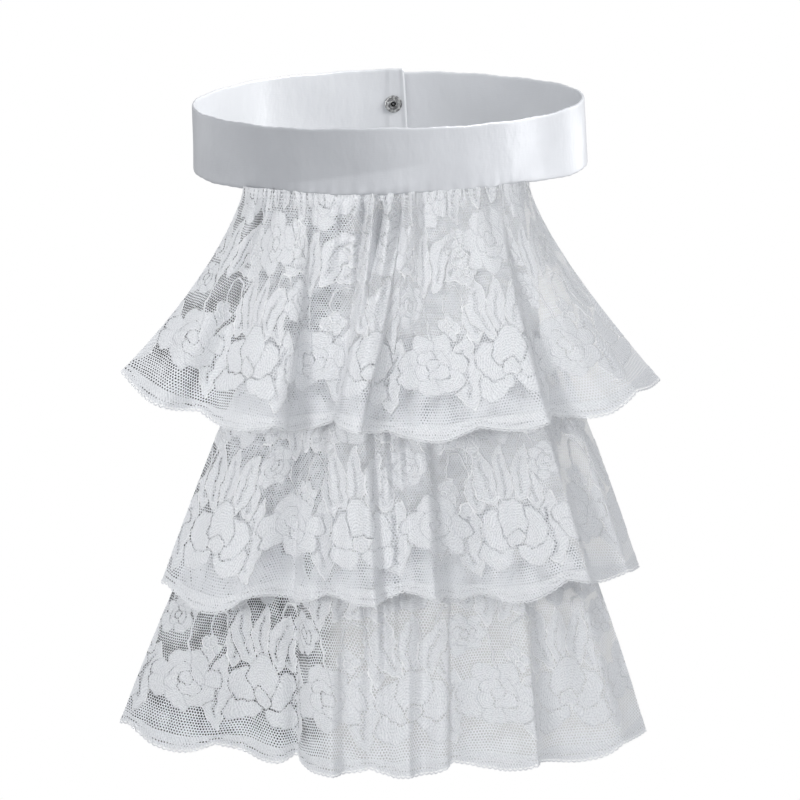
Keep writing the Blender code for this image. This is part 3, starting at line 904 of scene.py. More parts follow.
@dataclass
class NeckBand:
    """The folded satin strip round the neck, its ends lapped at centre back.

    Attributes:
        cad_wall: the solid's wall, on whose middle the strip lies; `wall` is the folded strip's own.
        lean: how far the ring rides up across.
        inner_sink, outer_rise: how far the ends move in and out to lap, held over `lap_hold` from an end
            and faded over `lap_blend`.
        inner_lift, outer_drop: how far they ride up and down, faded over `lift_blend`.
        front: forward from where, and over what, the ring counts as its front.
        foot_fade, foot_width: how far up and how far across the creases at the foot reach.
        layer_line: the turned layer at the lower left, as its edge's (-X, height, slope).
        layer_step, layer_full: how far it stands out per millimetre below its edge, and down to where.
        hem_step, bead_step: how far the inner end's hem and its rolled edge stand out, over their widths.
    """

    half_width: float = 74.3
    half_depth: float = 62.5
    height: float = 24.0
    cad_wall: float = 1.6
    wall: float = 1.1
    lean: float = math.tan(math.radians(1.25))
    inner_end_x: float = 6.8
    inner_end_rake: float = 0.8
    outer_end_x: float = -15.0
    inner_sink: float = 2.0
    outer_rise: float = 2.2
    lap_hold: float = 24.0
    lap_blend: float = 38.0
    inner_lift: float = 1.6
    outer_drop: float = 0.2
    lift_blend: float = 150.0
    flare: float = 2.0
    flare_side: Blend = Blend(50.0, 18.0)
    flare_front: Blend = Blend(-20.0, 30.0)
    flare_power: float = 1.3
    front: Blend = Blend(30.0, 25.0)
    front_rise: float = 0.7
    rise_width: float = 22.0
    side_drop: float = 1.0
    side: Blend = Blend(45.0, 20.0)
    side_front: Blend = Blend(-10.0, 30.0)
    soft_creases: tuple = (Ripple(0.16, 17.0, 9.0), Ripple(0.10, 7.3, -5.0, 1.3))
    foot_creases: tuple = (Ripple(0.15, 4.6 / FULL_TURN, 1.0), Ripple(0.13, 9.8 / FULL_TURN))
    edge_ripples: tuple = (Ripple(0.14, 3.1), Ripple(0.10, 7.9, math.inf, 0.7), Ripple(0.07, 0.83, 1.0))
    foot_drift: tuple = (Ripple(1.2, 6.0),)
    edge_drift: tuple = (Ripple(1.8, 9.0),)
    edge_power: int = 6
    foot_fade: float = 2.6
    foot_width: tuple = (52.0, 6.0)
    layer_line: tuple = (36.0, -8.6, 0.145)
    layer_step: float = 0.21
    layer_full: float = 6.5
    layer_left: Blend = Blend(-40.0, 10.0)
    layer_right: tuple = (-4.0, 26.0)
    hem_step: float = 0.3
    hem_width: tuple = (7.2, 0.5)
    bead_step: float = 0.4
    bead_width: tuple = (0.9, 0.4)
    rake_width: float = 6.0
    stations: int = 620
    face_rows: int = 30
    fold_rows: int = 5

    def path(self) -> dict[str, Array]:
        """Follows the band's middle line, from its inner end by -X and the front to its outer end.

        Returns:
            By name, for each station: its place, the way out of the ring, how far it rides up, the distance
            travelled and the distance from the inner end.
        """
        wide, deep = self.half_width - self.cad_wall / 2, self.half_depth - self.cad_wall / 2
        start = math.pi / 2 - math.asin(self.inner_end_x / wide)
        finish = math.pi / 2 + FULL_TURN - math.asin(self.outer_end_x / wide)
        angle = np.linspace(start, finish, self.stations)
        x, y = wide * np.cos(angle), deep * np.sin(angle)
        out_x, out_y = unit(np.stack([deep * np.cos(angle), wide * np.sin(angle)], axis=1)).T
        from_inner, from_outer = (angle - start) * wide, (finish - angle) * wide
        shift = (self.outer_rise * fade(from_outer, self.lap_hold, self.lap_blend)
                 - self.inner_sink * fade(from_inner, self.lap_hold, self.lap_blend))
        lift = (self.inner_lift * fade(from_inner, 0.0, self.lift_blend)
                - self.outer_drop * fade(from_outer, 0.0, self.lift_blend) + self.lean * x)
        x, y = x + out_x * shift, y + out_y * shift
        return {"x": x, "y": y, "out_x": out_x, "out_y": out_y, "lift": lift,
                "travelled": distances(np.stack([x, y], axis=1)), "from_inner": from_inner}

    def section(self) -> tuple[Array, Array]:
        """Lays out the band's closed section, starting at the foot of its outer face.

        Returns:
            How far out of the ring, and how far up, each of its points lies.
        """
        half_wall, half = self.wall / 2, (self.height - self.wall) / 2
        rise = np.linspace(-half, half, self.face_rows)
        flat = np.full(self.face_rows, half_wall)
        turn = np.linspace(0.0, math.pi, self.fold_rows + 2)[1:-1]
        out, over = half_wall * np.cos(turn), half + half_wall * np.sin(turn)
        return np.concatenate([flat, out, -flat, -out]), np.concatenate([rise, over, rise[::-1], -over])

    def creases(self, along: Array, x: Array, y: Array, up: Array) -> Array:
        """Works out how far the satin stands out of a smooth ring, with its soft creases and drawn edges.

        Args:
            along: distance travelled along the band.
            x: place across.
            y: place from front to back.
            up: height above the band's middle line.

        Returns:
            The distance.
        """
        front = self.front.at(-y)
        near_foot = np.exp(-(up + self.height / 2) / self.foot_fade) * front
        near_foot = near_foot * fade(np.abs(x), *self.foot_width)
        foot = waves(self.foot_creases, along, waves(self.foot_drift, along))
        left, level, slope = self.layer_line
        below = np.clip(level + (x + left) * slope - up, 0.0, self.layer_full)
        layer = below * self.layer_left.at(x) * fade(x, *self.layer_right) * front
        low = np.clip(0.5 - up / self.height, 0.0, 1.0)
        flare = self.flare * self.flare_side.at(x) * self.flare_front.at(-y) * low**self.flare_power
        return waves(self.soft_creases, along, up) + near_foot * foot + self.layer_step * layer + flare

    def build(self, satin: Finish) -> Piece:
        """Makes the band's mesh.

        Args:
            satin: its finish.

        Returns:
            The piece.
        """
        out, up = self.section()
        shape = (self.stations, len(out))
        x, y, out_x, out_y, lift, travelled, from_inner = (
            np.broadcast_to(line[:, None], shape) for line in self.path().values())
        out, up = np.broadcast_to(out[None, :], shape), np.broadcast_to(up[None, :], shape)
        folded = (self.hem_step * fade(from_inner, *self.hem_width)
                  + self.bead_step * fade(from_inner, *self.bead_width))
        stand = out + self.creases(travelled, x, y, up) - np.where(out < 0.0, folded, 0.0)
        share = up / (self.height / 2)
        upper = np.clip(up / self.height + 0.5, 0.0, 1.0)
        wave = waves(self.edge_ripples, travelled, waves(self.edge_drift, travelled))
        rise = up + wave * np.sign(up) * np.abs(share) ** self.edge_power
        rise += self.front_rise * self.front.at(-y) * upper * np.exp(-(x / self.rise_width) ** 2)
        rise -= self.side_drop * (1.0 - upper) * self.side.at(np.abs(x)) * self.side_front.at(-y)
        rake = -self.inner_end_rake * share * fade(from_inner, 0.0, self.rake_width)
        points = np.stack([x + out_x * stand + rake, y + out_y * stand, rise + lift], axis=2)
        faces = grid_faces(self.stations, shape[1], wrap=True)
        piece = add_mesh("satin_band", points.reshape(-1, 3), faces, satin)
        self.close_ends(piece, shape)
        set_cut_map(piece, travelled, np.where(out < 0.0, self.height * 2.0 - up, up) + self.height)
        return piece

    def close_ends(self, piece: Piece, shape: tuple[int, int]) -> None:
        """Bridges the outer and inner faces across both ends of the band.

        Args:
            piece: the band.
            shape: how many stations it has, and how many points its section.
        """
        bm = bmesh.new()
        bm.from_mesh(piece.data)
        bm.verts.ensure_lookup_table()
        half, last = self.face_rows, 2 * self.face_rows + self.fold_rows - 1
        for first in (0, (shape[0] - 1) * shape[1]):
            ring = [bm.verts[first + n] for n in range(shape[1])]
            for n in range(half - 1):
                bm.faces.new((ring[n], ring[n + 1], ring[last - n - 1], ring[last - n]))
            bm.faces.new(ring[half - 1:half + self.fold_rows + 1])
            bm.faces.new(ring[last:] + ring[:1])
        bmesh.ops.recalc_face_normals(bm, faces=bm.faces)
        bm.to_mesh(piece.data)
        bm.free()


class Stamping(NamedTuple):
    """One turned part of the press stud.

    Attributes:
        node: the solid that it replaces.
        outline: its (radius, height) points, the height from `base_y`.
        outward: 1 where it faces back, -1 where it faces the neck.
        marks: the radii between which its dimples are pressed.
    """

    name: str
    node: str
    outline: tuple
    base_y: float
    outward: int
    marks: tuple = (0.0, 0.0)


STAMPINGS = (
    Stamping("stud_eyelet", "snap_eyelet",
             ((1.05, -0.65), (3.15, -0.65), (3.33, -0.5), (3.35, 0.22), (3.26, 0.42), (3.05, 0.55),
              (2.75, 0.58), (2.2, 0.5), (1.86, 0.52), (1.74, 0.64), (1.66, 0.9), (1.54, 1.02), (1.3, 1.05),
              (1.14, 0.98), (1.06, 0.8)), 58.43, -1, (2.2, 2.75)),
    Stamping("stud_ball", "snap_stud",
             ((3.0, -0.25), (3.05, 0.1), (3.02, 0.34), (2.85, 0.46), (1.35, 0.5), (1.12, 0.62), (1.1, 0.8),
              (1.3, 1.02), (1.33, 1.22), (1.22, 1.45), (0.95, 1.6), (0.5, 1.65)), 60.8, 1, (1.9, 2.6)),
    Stamping("stud_socket", "snap_socket",
             ((1.66, -0.6), (3.25, -0.6), (3.35, -0.45), (3.35, 0.84), (3.26, 0.99), (3.05, 1.05),
              (1.9, 1.04), (1.72, 0.94), (1.66, 0.75)), 62.63, -1, (2.2, 2.8)),
    Stamping("stud_cap", "snap_cap",
             ((3.3, -0.55), (3.46, -0.42), (3.5, 0.05), (3.46, 0.3), (3.25, 0.48), (2.85, 0.66),
              (2.2, 0.82), (1.7, 0.92), (1.0, 0.97), (0.5, 1.0)), 65.0, 1),
)


@dataclass
class PressStud:
    """The press stud's four stampings, the rivet in the eyelet, and the drawn end there in painted shade.
    """

    x: float = 1.8
    z: float = 0.0
    sides: int = 84
    mark_every: int = 6
    mark_wide: int = 3
    mark_depth: float = 0.12
    least_hole: float = 1.0
    bevel: float = 0.03
    sharp_over: float = math.radians(38.0)
    rivet_radius: float = 0.42
    rivet_flatness: float = 0.6
    rivet_y: float = 58.62
    bore_radius: float = 1.12
    bore_depth: float = 0.24
    bore_y: float = 58.90

    def place(self, y: float) -> tuple:
        """A place on the stud's axis, in metres."""
        return self.x * METRES, y * METRES, self.z * METRES

    def turn(self, part: Stamping, nickel: Finish) -> Piece:
        """Draws a ring out along the outline, closes it and presses its marks.

        Args:
            part: the stamping.
            nickel: its finish.

        Returns:
            The piece.
        """
        hollow = part.outline[0][0] < part.outline[1][0] and part.outline[-1][0] >= self.least_hole
        radius, height = part.outline[0]
        bpy.ops.object.select_all(action="DESELECT")
        bpy.ops.mesh.primitive_circle_add(vertices=self.sides, radius=radius * METRES,
                                          fill_type="NOTHING" if hollow else "NGON",
                                          location=(0.0, 0.0, height * METRES))
        piece = bpy.context.object
        bpy.ops.object.transform_apply(location=True, rotation=True, scale=True)
        bpy.ops.object.mode_set(mode="EDIT")
        bpy.ops.mesh.select_mode(type="EDGE")
        bpy.ops.mesh.select_all(action="SELECT")
        for wide, high in part.outline[1:]:
            bpy.ops.mesh.extrude_edges_move(
                TRANSFORM_OT_translate={"value": (0.0, 0.0, (high - height) * METRES)})
            bpy.ops.transform.resize(value=(wide / radius, wide / radius, 1.0))
            radius, height = wide, high
        if hollow:
            bpy.ops.mesh.select_all(action="DESELECT")
            bpy.ops.mesh.select_non_manifold()
            bpy.ops.mesh.bridge_edge_loops()
        else:
            bpy.ops.mesh.merge(type="CENTER")
        bpy.ops.mesh.select_all(action="SELECT")
        bpy.ops.mesh.normals_make_consistent(inside=False)
        bpy.ops.object.mode_set(mode="OBJECT")
        self.press_marks(piece, part.marks)
        self.soften(piece)
        piece.rotation_euler = (-part.outward * math.pi / 2, 0.0, 0.0)
        piece.location = self.place(part.base_y)
        self.settle(piece, part.name, nickel)
        piece.data.set_sharp_from_angle(angle=self.sharp_over)
        return piece

    def press_marks(self, piece: Piece, marks: tuple) -> None:
        """Presses a ring of plain dimples into the flange.

        Args:
            piece: the stamping, its axis along Z.
            marks: the radii between which they lie.
        """
        inner, outer = marks
        for face in piece.data.polygons:
            reach = math.hypot(face.center.x, face.center.y) / METRES
            turn = int((math.atan2(face.center.y, face.center.x) / math.pi + 1.0) * self.sides / 2)
            marked = turn % self.mark_every < self.mark_wide
            face.select = inner < reach < outer and face.normal.z > 0.5 and marked
        if not any(face.select for face in piece.data.polygons):
            return
        for element in (*piece.data.edges, *piece.data.vertices):
            element.select = False
        bpy.ops.object.mode_set(mode="EDIT")
        bpy.ops.mesh.select_mode(type="FACE")
        bpy.ops.mesh.inset(thickness=self.mark_depth * METRES, depth=-self.mark_depth * METRES)
        bpy.ops.object.mode_set(mode="OBJECT")

    def soften(self, piece: Piece) -> None:
        """Rounds a stamping's edges slightly.

        Args:
            piece: the stamping.
        """
        softener = piece.modifiers.new("softened_edges", "BEVEL")
        softener.width = self.bevel * METRES
        softener.segments = 2
        softener.limit_method = "ANGLE"
        bpy.ops.object.modifier_apply(modifier=softener.name)

    @staticmethod
    def settle(piece: Piece, name: str, metal: Finish, smooth: bool = True) -> None:
        """Fixes a metal piece where it stands, names it and gives it its finish.

        Args:
            piece: the piece.
            name: its name.
            metal: its finish.
            smooth: whether its faces are shaded as one.
        """
        bpy.ops.object.transform_apply(location=True, rotation=True, scale=True)
        piece.name = name
        piece.data.materials.append(metal)
        if smooth:
            piece.data.shade_smooth()

    def rivet(self, nickel: Finish) -> Piece:
        """Flattens a ball into the rivet end inside the eyelet.

        Args:
            nickel: its finish.

        Returns:
            The piece.
        """
        bpy.ops.object.select_all(action="DESELECT")
        bpy.ops.mesh.primitive_uv_sphere_add(segments=32, ring_count=16, radius=self.rivet_radius * METRES,
                                             location=self.place(self.rivet_y))
        piece = bpy.context.object
        piece.scale = (1.0, self.rivet_flatness, 1.0)
        self.settle(piece, "stud_rivet", nickel)
        return piece

    def bore(self, tarnish: Finish) -> Piece:
        """Closes the bottom of the eyelet's hole with the end of the drawn shank, near-black as painted
        shade.

        Args:
            tarnish: its near-black finish, painted shade.

        Returns:
            The piece.
        """
        bpy.ops.object.select_all(action="DESELECT")
        bpy.ops.mesh.primitive_cylinder_add(
            vertices=self.sides, radius=self.bore_radius * METRES, depth=self.bore_depth * METRES,
            location=self.place(self.bore_y), rotation=(math.pi / 2, 0.0, 0.0))
        piece = bpy.context.object
        self.settle(piece, "stud_bore", tarnish, smooth=False)
        return piece


@dataclass
class Backing:
    """The plain net panel behind the tiers."""

    seam_half: float = 47.0
    hem_half: float = 65.0
    centre_x: float = 2.0
    seam_z: float = -12.0
    hem_z: float = -137.0
    tuck: float = 0.3
    front_y: float = -60.6
    curve_top: float = 0.0060
    curve_hem: float = 0.0027
    sag: Ripple = Ripple(0.25, 6.0, 1.0)
    sag_slant: float = 3.0
    cut_start: tuple = (100.0, 200.0)
    columns: int = 150
    rows: int = 140

    def curve(self, z: float) -> float:
        """How fast the panel curves back to its sides at this height."""
        share = min(max((z - self.seam_z) / (self.hem_z - self.seam_z), 0.0), 1.0)
        return mix(self.curve_top, self.curve_hem, share)

    def build(self, net: Finish, lean: float) -> Piece:
        """Makes the panel's mesh.

        Args:
            net: its finish.
            lean: how far the ring rides up across.

        Returns:
            The piece.
        """
        rows = []
        across = np.linspace(-1.0, 1.0, self.columns)
        for share in np.linspace(0.0, 1.0, self.rows):
            x = self.centre_x + across * mix(self.seam_half, self.hem_half, share)
            z = mix(self.seam_z + self.tuck, self.hem_z, share) + lean * x * (1.0 - share)
            y = self.front_y + self.curve(float(z.mean())) * x * x
            rows.append(np.stack([x, y + waves((self.sag,), x, self.sag_slant * share) * share, z], axis=1))
        points = np.concatenate(rows)
        piece = add_mesh("net_backing", points, grid_faces(self.rows, self.columns), net)
        start_along, start_up = self.cut_start
        set_cut_map(piece, points[:, 0] + start_along, points[:, 2] + start_up)
        return piece


class Fold(NamedTuple):
    """One line of lace from seam to hem, at a crest, a flank or the bottom of a fold."""

    seam_x: float
    hem_x: float
    hem_y: float
    hem_z: float


def folds(*rows: tuple) -> tuple[Fold, ...]:
    """Fold lines, from left to right, out of rows of a Fold's fields."""
    return tuple(Fold(*row) for row in rows)


TOP_FOLDS = folds(
    (-53.7, -98.6, -62, -80.5), (-49.5, -85, -77, -86), (-44.4, -70.5, -73, -92.5), (-38, -55, -90, -92.5),
    (-32, -43, -96.5, -93), (-29, -38, -93.5, -93.4), (-26.5, -36.3, -85.5, -94.8), (-20, -28, -78, -95),
    (-10, -20.5, -83, -93.5), (-3.5, -17.6, -94.5, -91.2), (2.5, -12, -99.8, -90.9),
    (4.8, -9.9, -99.3, -91.4), (5.8, -9.3, -94.5, -92.4), (7, -8.9, -91, -94.1), (9.5, -0.5, -87.5, -96.9),
    (12.5, 14.5, -87, -97.6), (16.5, 21.5, -91, -96.6), (23, 31, -96, -93.8), (31, 43.5, -101.5, -90.5),
    (37.5, 55, -106, -87.8), (39.8, 58.2, -106, -87), (40.9, 58.9, -102, -87.6), (41.6, 59.4, -97, -88.3),
    (42.4, 61.2, -93.5, -88.8), (44.8, 68, -90, -88.3), (48, 81, -88, -86.9), (50.5, 92.5, -78, -83.5),
    (52.3, 100.3, -64, -79.5))
MIDDLE_FOLDS = folds(
    (-46, -84.7, -63, -160), (-42, -75.5, -74, -163), (-36, -61, -86, -164), (-32, -46.5, -83, -158.5),
    (-29, -36, -78, -159.2), (-27, -33.6, -82, -160), (-25, -27, -86.5, -159.5),
    (-22.5, -19.4, -82.5, -160), (-17.5, -12, -89, -159.4), (-12.5, -6, -93.5, -158.2),
    (-10.5, -3.4, -91.5, -158.4), (-8.8, -1.2, -87.5, -158.8), (-3, 4.5, -86.5, -158.4),
    (5, 10.5, -90.5, -156.6), (10, 16.3, -94.5, -155.4), (11.5, 18.6, -92.5, -155.6),
    (13.5, 20, -88.5, -156.2), (19, 28.5, -82.5, -159.6), (27.5, 41, -80.5, -160.9),
    (35.5, 55.5, -90.5, -156.7), (41, 66.5, -97, -150.9), (44.5, 73.4, -98.5, -149.3),
    (46, 75, -95.5, -149.5), (47.2, 75.2, -89.5, -150.5), (48.5, 77.5, -84.5, -151.7),
    (51.5, 83, -80, -152.7), (54.5, 89, -75.5, -153), (58.5, 93.4, -64, -151.5))
BOTTOM_FOLDS = folds(
    (-64.5, -101, -60, -215), (-60, -89, -71, -218), (-55, -74, -76, -220.5), (-48, -56.5, -71, -221),
    (-39.5, -42, -79.5, -223.5), (-34.5, -34.5, -75.5, -223.5), (-32, -32.4, -80.5, -224.8),
    (-28.5, -28, -87.5, -224.6), (-22.5, -21.5, -92.5, -224.1), (-20, -18.8, -90.5, -224.5),
    (-17, -16.6, -87.5, -225.3), (-9.5, -8, -87, -226.4), (-1, 1, -88.5, -226.5), (6, 7.4, -92, -224.8),
    (8.5, 9.6, -90, -224.9), (13, 13.5, -88.5, -224.9), (19.5, 19.5, -92.5, -223.5),
    (21.5, 22, -92, -223.4), (23.5, 24.2, -88.5, -223.2), (33, 37, -85.5, -223), (41, 48, -90.5, -223.1),
    (46.5, 55.3, -92.5, -222.3), (48, 56.6, -88.5, -222.8), (50, 60, -83.5, -222.4),
    (56, 71.5, -78.5, -222.5), (61, 85, -75, -221.5), (66, 97, -60, -216.5))

@dataclass
class LaceTier:
    """One gathered strip of scalloped lace.

    Attributes:
        node: the solid that it replaces.
        flare: power of the sideways spread; over 1 spreads late.
        scallop_start: where the first scallop begins along the hem.
        chart_shift: how far the figures are moved along the strip.
        follows_ring: whether its seam rides up with the ring and tucks into the band.
        wander: how unevenly the gathers are spaced, in radians.
        pucker_peak: share of the way down at which the gathers under the seam are highest.
        crimp_fade, pleat_fade: how fast the finest and the widest gathers fade on the way down.
        crimp_drift, pleat_drift: how much of the wander shifts them.
        pleat_mean, pleat_uneven: how the widest vary in height along the seam.
        pleat_forward: how much further they stand forward than back.
        held: the share of the way down over which the seam holds both in, and what it leaves of them.
        limp: height of the limp cloth's waves at the hem.
        limp_waves: each wave's height, the length over one radian, its drift and its slant.
        relief: how high the close work and the cords stand, over work_edge and cord_edge from their edges.
        strand, strand_swell: the edging's radius, and how much thicker it is in a loop.
        strand_step, strand_gap: how finely it is laid out, and how far it hangs below the hem.
        fine_steps: points of the smooth curve from one fold line of the table to the next.
    """

    name: str
    node: str
    seam_z: float
    flare: float
    scallop_start: float
    chart_shift: float
    folds: tuple
    follows_ring: bool = False
    tuck: float = 1.1
    tuck_share: float = 0.03
    scallop_power: int = 4
    wall: float = 1.0
    gap: float = 0.3
    wander: tuple = (Ripple(0.9, 11.0), Ripple(0.5, 5.3, math.inf, 1.0))
    pucker_height: float = 1.5
    pucker_spacing: float = 9.8
    pucker_peak: float = 0.09
    crimp_height: float = 0.45
    crimp_spacing: float = 2.9
    crimp_drift: float = 2.0
    crimp_fade: float = 9.0
    pleat_height: float = 4.1
    pleat_spacing: float = 8.4
    pleat_drift: float = 1.9
    pleat_mean: float = 0.75
    pleat_uneven: tuple = (Ripple(0.4, 9.7, math.inf, 2.2),)
    pleat_fade: float = 2.6
    pleat_forward: float = 0.3
    held: tuple = (0.06, 0.25)
    limp: float = 0.8
    limp_power: float = 1.5
    limp_waves: tuple = ((0.55, 3.9, Ripple(1.7, 23.0), 1.5), (0.35, 1.9, Ripple(2.2, 13.0), -3.0))
    cut_start: float = 50.0
    relief: tuple = (0.16, 0.10)
    work_edge: tuple = (-0.3, 0.6)
    cord_edge: tuple = (0.1, 0.6)
    loop_length: float = 2.1
    loop_height: float = 0.55
    strand: float = 0.22
    strand_swell: float = 0.10
    strand_sides: int = 5
    strand_step: float = 0.3
    strand_gap: float = 0.15
    fine_steps: int = 24
    columns: int = 540
    rows: int = 172
    length: float = field(default=0.0, init=False)
    width: float = field(default=88.0, init=False)

    def fold_lines(self) -> tuple[Array, Array]:
        """Fold lines spaced evenly along the hem, on a smooth curve through the tier's table.

        Returns:
            An array of (seam_x, hem_x, hem_y, hem_z) rows, and their distances along the hem.
        """
        table, last = np.array(self.folds, dtype=float), len(self.folds) - 1
        gaps = np.linalg.norm(np.diff(table[:, 1:3], axis=0), axis=1) ** 0.5
        knots = np.concatenate([[0.0], np.cumsum(gaps)])
        t = np.linspace(0.0, 1.0, self.fine_steps, endpoint=False)[:, None]
        fine = []
        for i in range(last):
            before, after = max(i - 1, 0), min(i + 2, last)
            early = knots[i] - 1.0 if i == 0 else knots[before]
            late = knots[i + 1] + 1.0 if after == i + 1 else knots[after]
            span = knots[i + 1] - knots[i]
            leave = span * (table[i + 1] - table[before]) / (knots[i + 1] - early)
            arrive = span * (table[after] - table[i]) / (late - knots[i])
            fine.append((2 * t**3 - 3 * t**2 + 1) * table[i] + (t**3 - 2 * t**2 + t) * leave
                        + (3 * t**2 - 2 * t**3) * table[i + 1] + (t**3 - t**2) * arrive)
        fine = np.concatenate(fine + [table[-1:]])
        travelled = distances(fine[:, 1:3])
        self.length = float(travelled[-1])
        along = np.linspace(0.0, self.length, self.columns)
        return np.stack([np.interp(along, travelled, fine[:, k]) for k in range(4)], axis=1), along

    def gathers(self, seam_x: Array, share: Array) -> Array:
        """Works out how far the gathers stand forward of the cloth.

        Args:
            seam_x: a place's X at the seam.
            share: how far down it lies, 0 at the seam and 1 at the hem.

        Returns:
            The distance.
        """
        wander = waves(self.wander, seam_x)
        rise = share / self.pucker_peak
        pucker = self.pucker_height * np.sin(FULL_TURN * seam_x / self.pucker_spacing + wander)
        turn = FULL_TURN * seam_x / self.crimp_spacing + self.crimp_drift * wander
        crimp = self.crimp_height * np.sin(turn)
        uneven = self.pleat_height * (self.pleat_mean + waves(self.pleat_uneven, seam_x))
        turn = FULL_TURN * seam_x / self.pleat_spacing + self.pleat_drift * wander
        pleat = np.sin(turn) + self.pleat_forward
        over, least = self.held
        held = np.clip(share / over, least, 1.0)
        fading = (crimp * np.exp(-share * self.crimp_fade)
                  + uneven * pleat * np.exp(-share * self.pleat_fade))
        return pucker * rise * np.exp(1.0 - rise) + fading * held

    def ripples(self, along: Array, share: Array) -> Array:
        """Works out the shallow waves of limp cloth, which grow towards the hem.

        Args:
            along: a place's distance along the hem.
            share: how far down it lies, 0 at the seam and 1 at the hem.

        Returns:
            How far they stand forward.
        """
        wave = sum(height * np.sin(along / over + waves((drift,), along) + slant * share)
                   for height, over, drift, slant in self.limp_waves)
        return wave * share**self.limp_power * self.limp

    def surface(self, backing: Backing, lean: float, chart: LaceChart) -> dict[str, Array]:
        """Lays out the strip's middle surface.

        Args:
            backing: the panel behind it.
            lean: how far the ring rides up across.
            chart: the lace's pattern.

        Returns:
            "points", the surface; "along" and "up", the place of each point on the cut cloth.
        """
        lines, along = self.fold_lines()
        seam_x, hem_x, hem_y, hem_z = (lines[None, :, k] for k in range(4))
        share = np.linspace(0.0, 1.0, self.rows)[:, None]
        seam_z = self.seam_z + (lean * seam_x if self.follows_ring else 0.0 * seam_x)
        curve = backing.curve(self.seam_z)
        seam_y = (backing.front_y + curve * seam_x**2
                  - (self.wall + self.gap) * np.hypot(1.0, 2.0 * curve * seam_x))
        x = seam_x + (hem_x - seam_x) * share**self.flare
        spring = self.pucker_height * np.minimum(share / self.pucker_peak, 1.0)
        y = (seam_y + (hem_y - seam_y) * share - spring - self.gathers(seam_x, share)
             - self.ripples(along[None, :], share))
        cut_along = np.broadcast_to(along[None, :] - self.scallop_start, x.shape)
        drop = chart.drop(cut_along)
        z = seam_z + (hem_z - seam_z) * share - drop * share**self.scallop_power
        if self.follows_ring:
            z = z + self.tuck * fade(share, 0.0, self.tuck_share)
        points = np.stack([x, y, z], axis=2)
        self.width = float(np.linalg.norm(np.diff(points, axis=0), axis=2).sum(axis=0).mean())
        return {"points": points, "along": cut_along, "up": (1.0 - share) * (self.width + drop) - drop}

    def build(self, backing: Backing, lean: float, chart: LaceChart, lace: Finish,
              thread: Finish) -> tuple[Piece, Piece]:
        """Makes the strip's mesh, its figures slightly raised, and its looped edging.

        Args:
            backing: the panel behind it.
            lean: how far the ring rides up across.
            chart: the lace's pattern.
            lace: its finish.
            thread: the edging's finish.

        Returns:
            The strip and its edging.
        """
        made = self.surface(backing, lean, chart)
        pattern = chart.chart(made["along"], made["up"], self.chart_shift)
        work, cord = self.relief
        relief = (work * fade(pattern["solid"], *self.work_edge)
                  + cord * fade(pattern["cord"], *self.cord_edge))
        points = made["points"] - surface_normals(made["points"]) * relief[:, :, None]
        piece = add_mesh(self.name, points.reshape(-1, 3), grid_faces(self.rows, self.columns), lace)
        set_cut_map(piece, made["along"] + self.cut_start, made["up"])
        set_numbers(piece, **pattern)
        return piece, self.edging(made["points"], thread)

    def edging(self, points: Array, thread: Finish) -> Piece:
        """Lays the cord of tiny loops along the scallops.

        Args:
            points: the strip's middle surface.
            thread: its finish.

        Returns:
            The piece.
        """
        at = np.linspace(0.0, 1.0, int(self.length / self.strand_step))
        columns = np.linspace(0.0, 1.0, self.columns)
        path, outward = (np.stack([np.interp(at, columns, line[:, k]) for k in range(3)], axis=1)
                         for line in (points[-1], unit(points[-1] - points[-4])))
        loop = np.abs(np.sin(math.pi * at * self.length / self.loop_length))
        path = path + outward * (self.strand_gap + self.loop_height * loop)[:, None]
        points, faces = tube(path, self.strand + self.strand_swell * loop, self.strand_sides)
        return add_mesh(self.name + "_edging", points, faces, thread)


class Lamp(NamedTuple):
    """An oblong soft light: where it stands, its width and height, watts, and the angle it shines into."""

    name: str
    place: tuple
    size: tuple
    power: float
    spread: float = 180.0


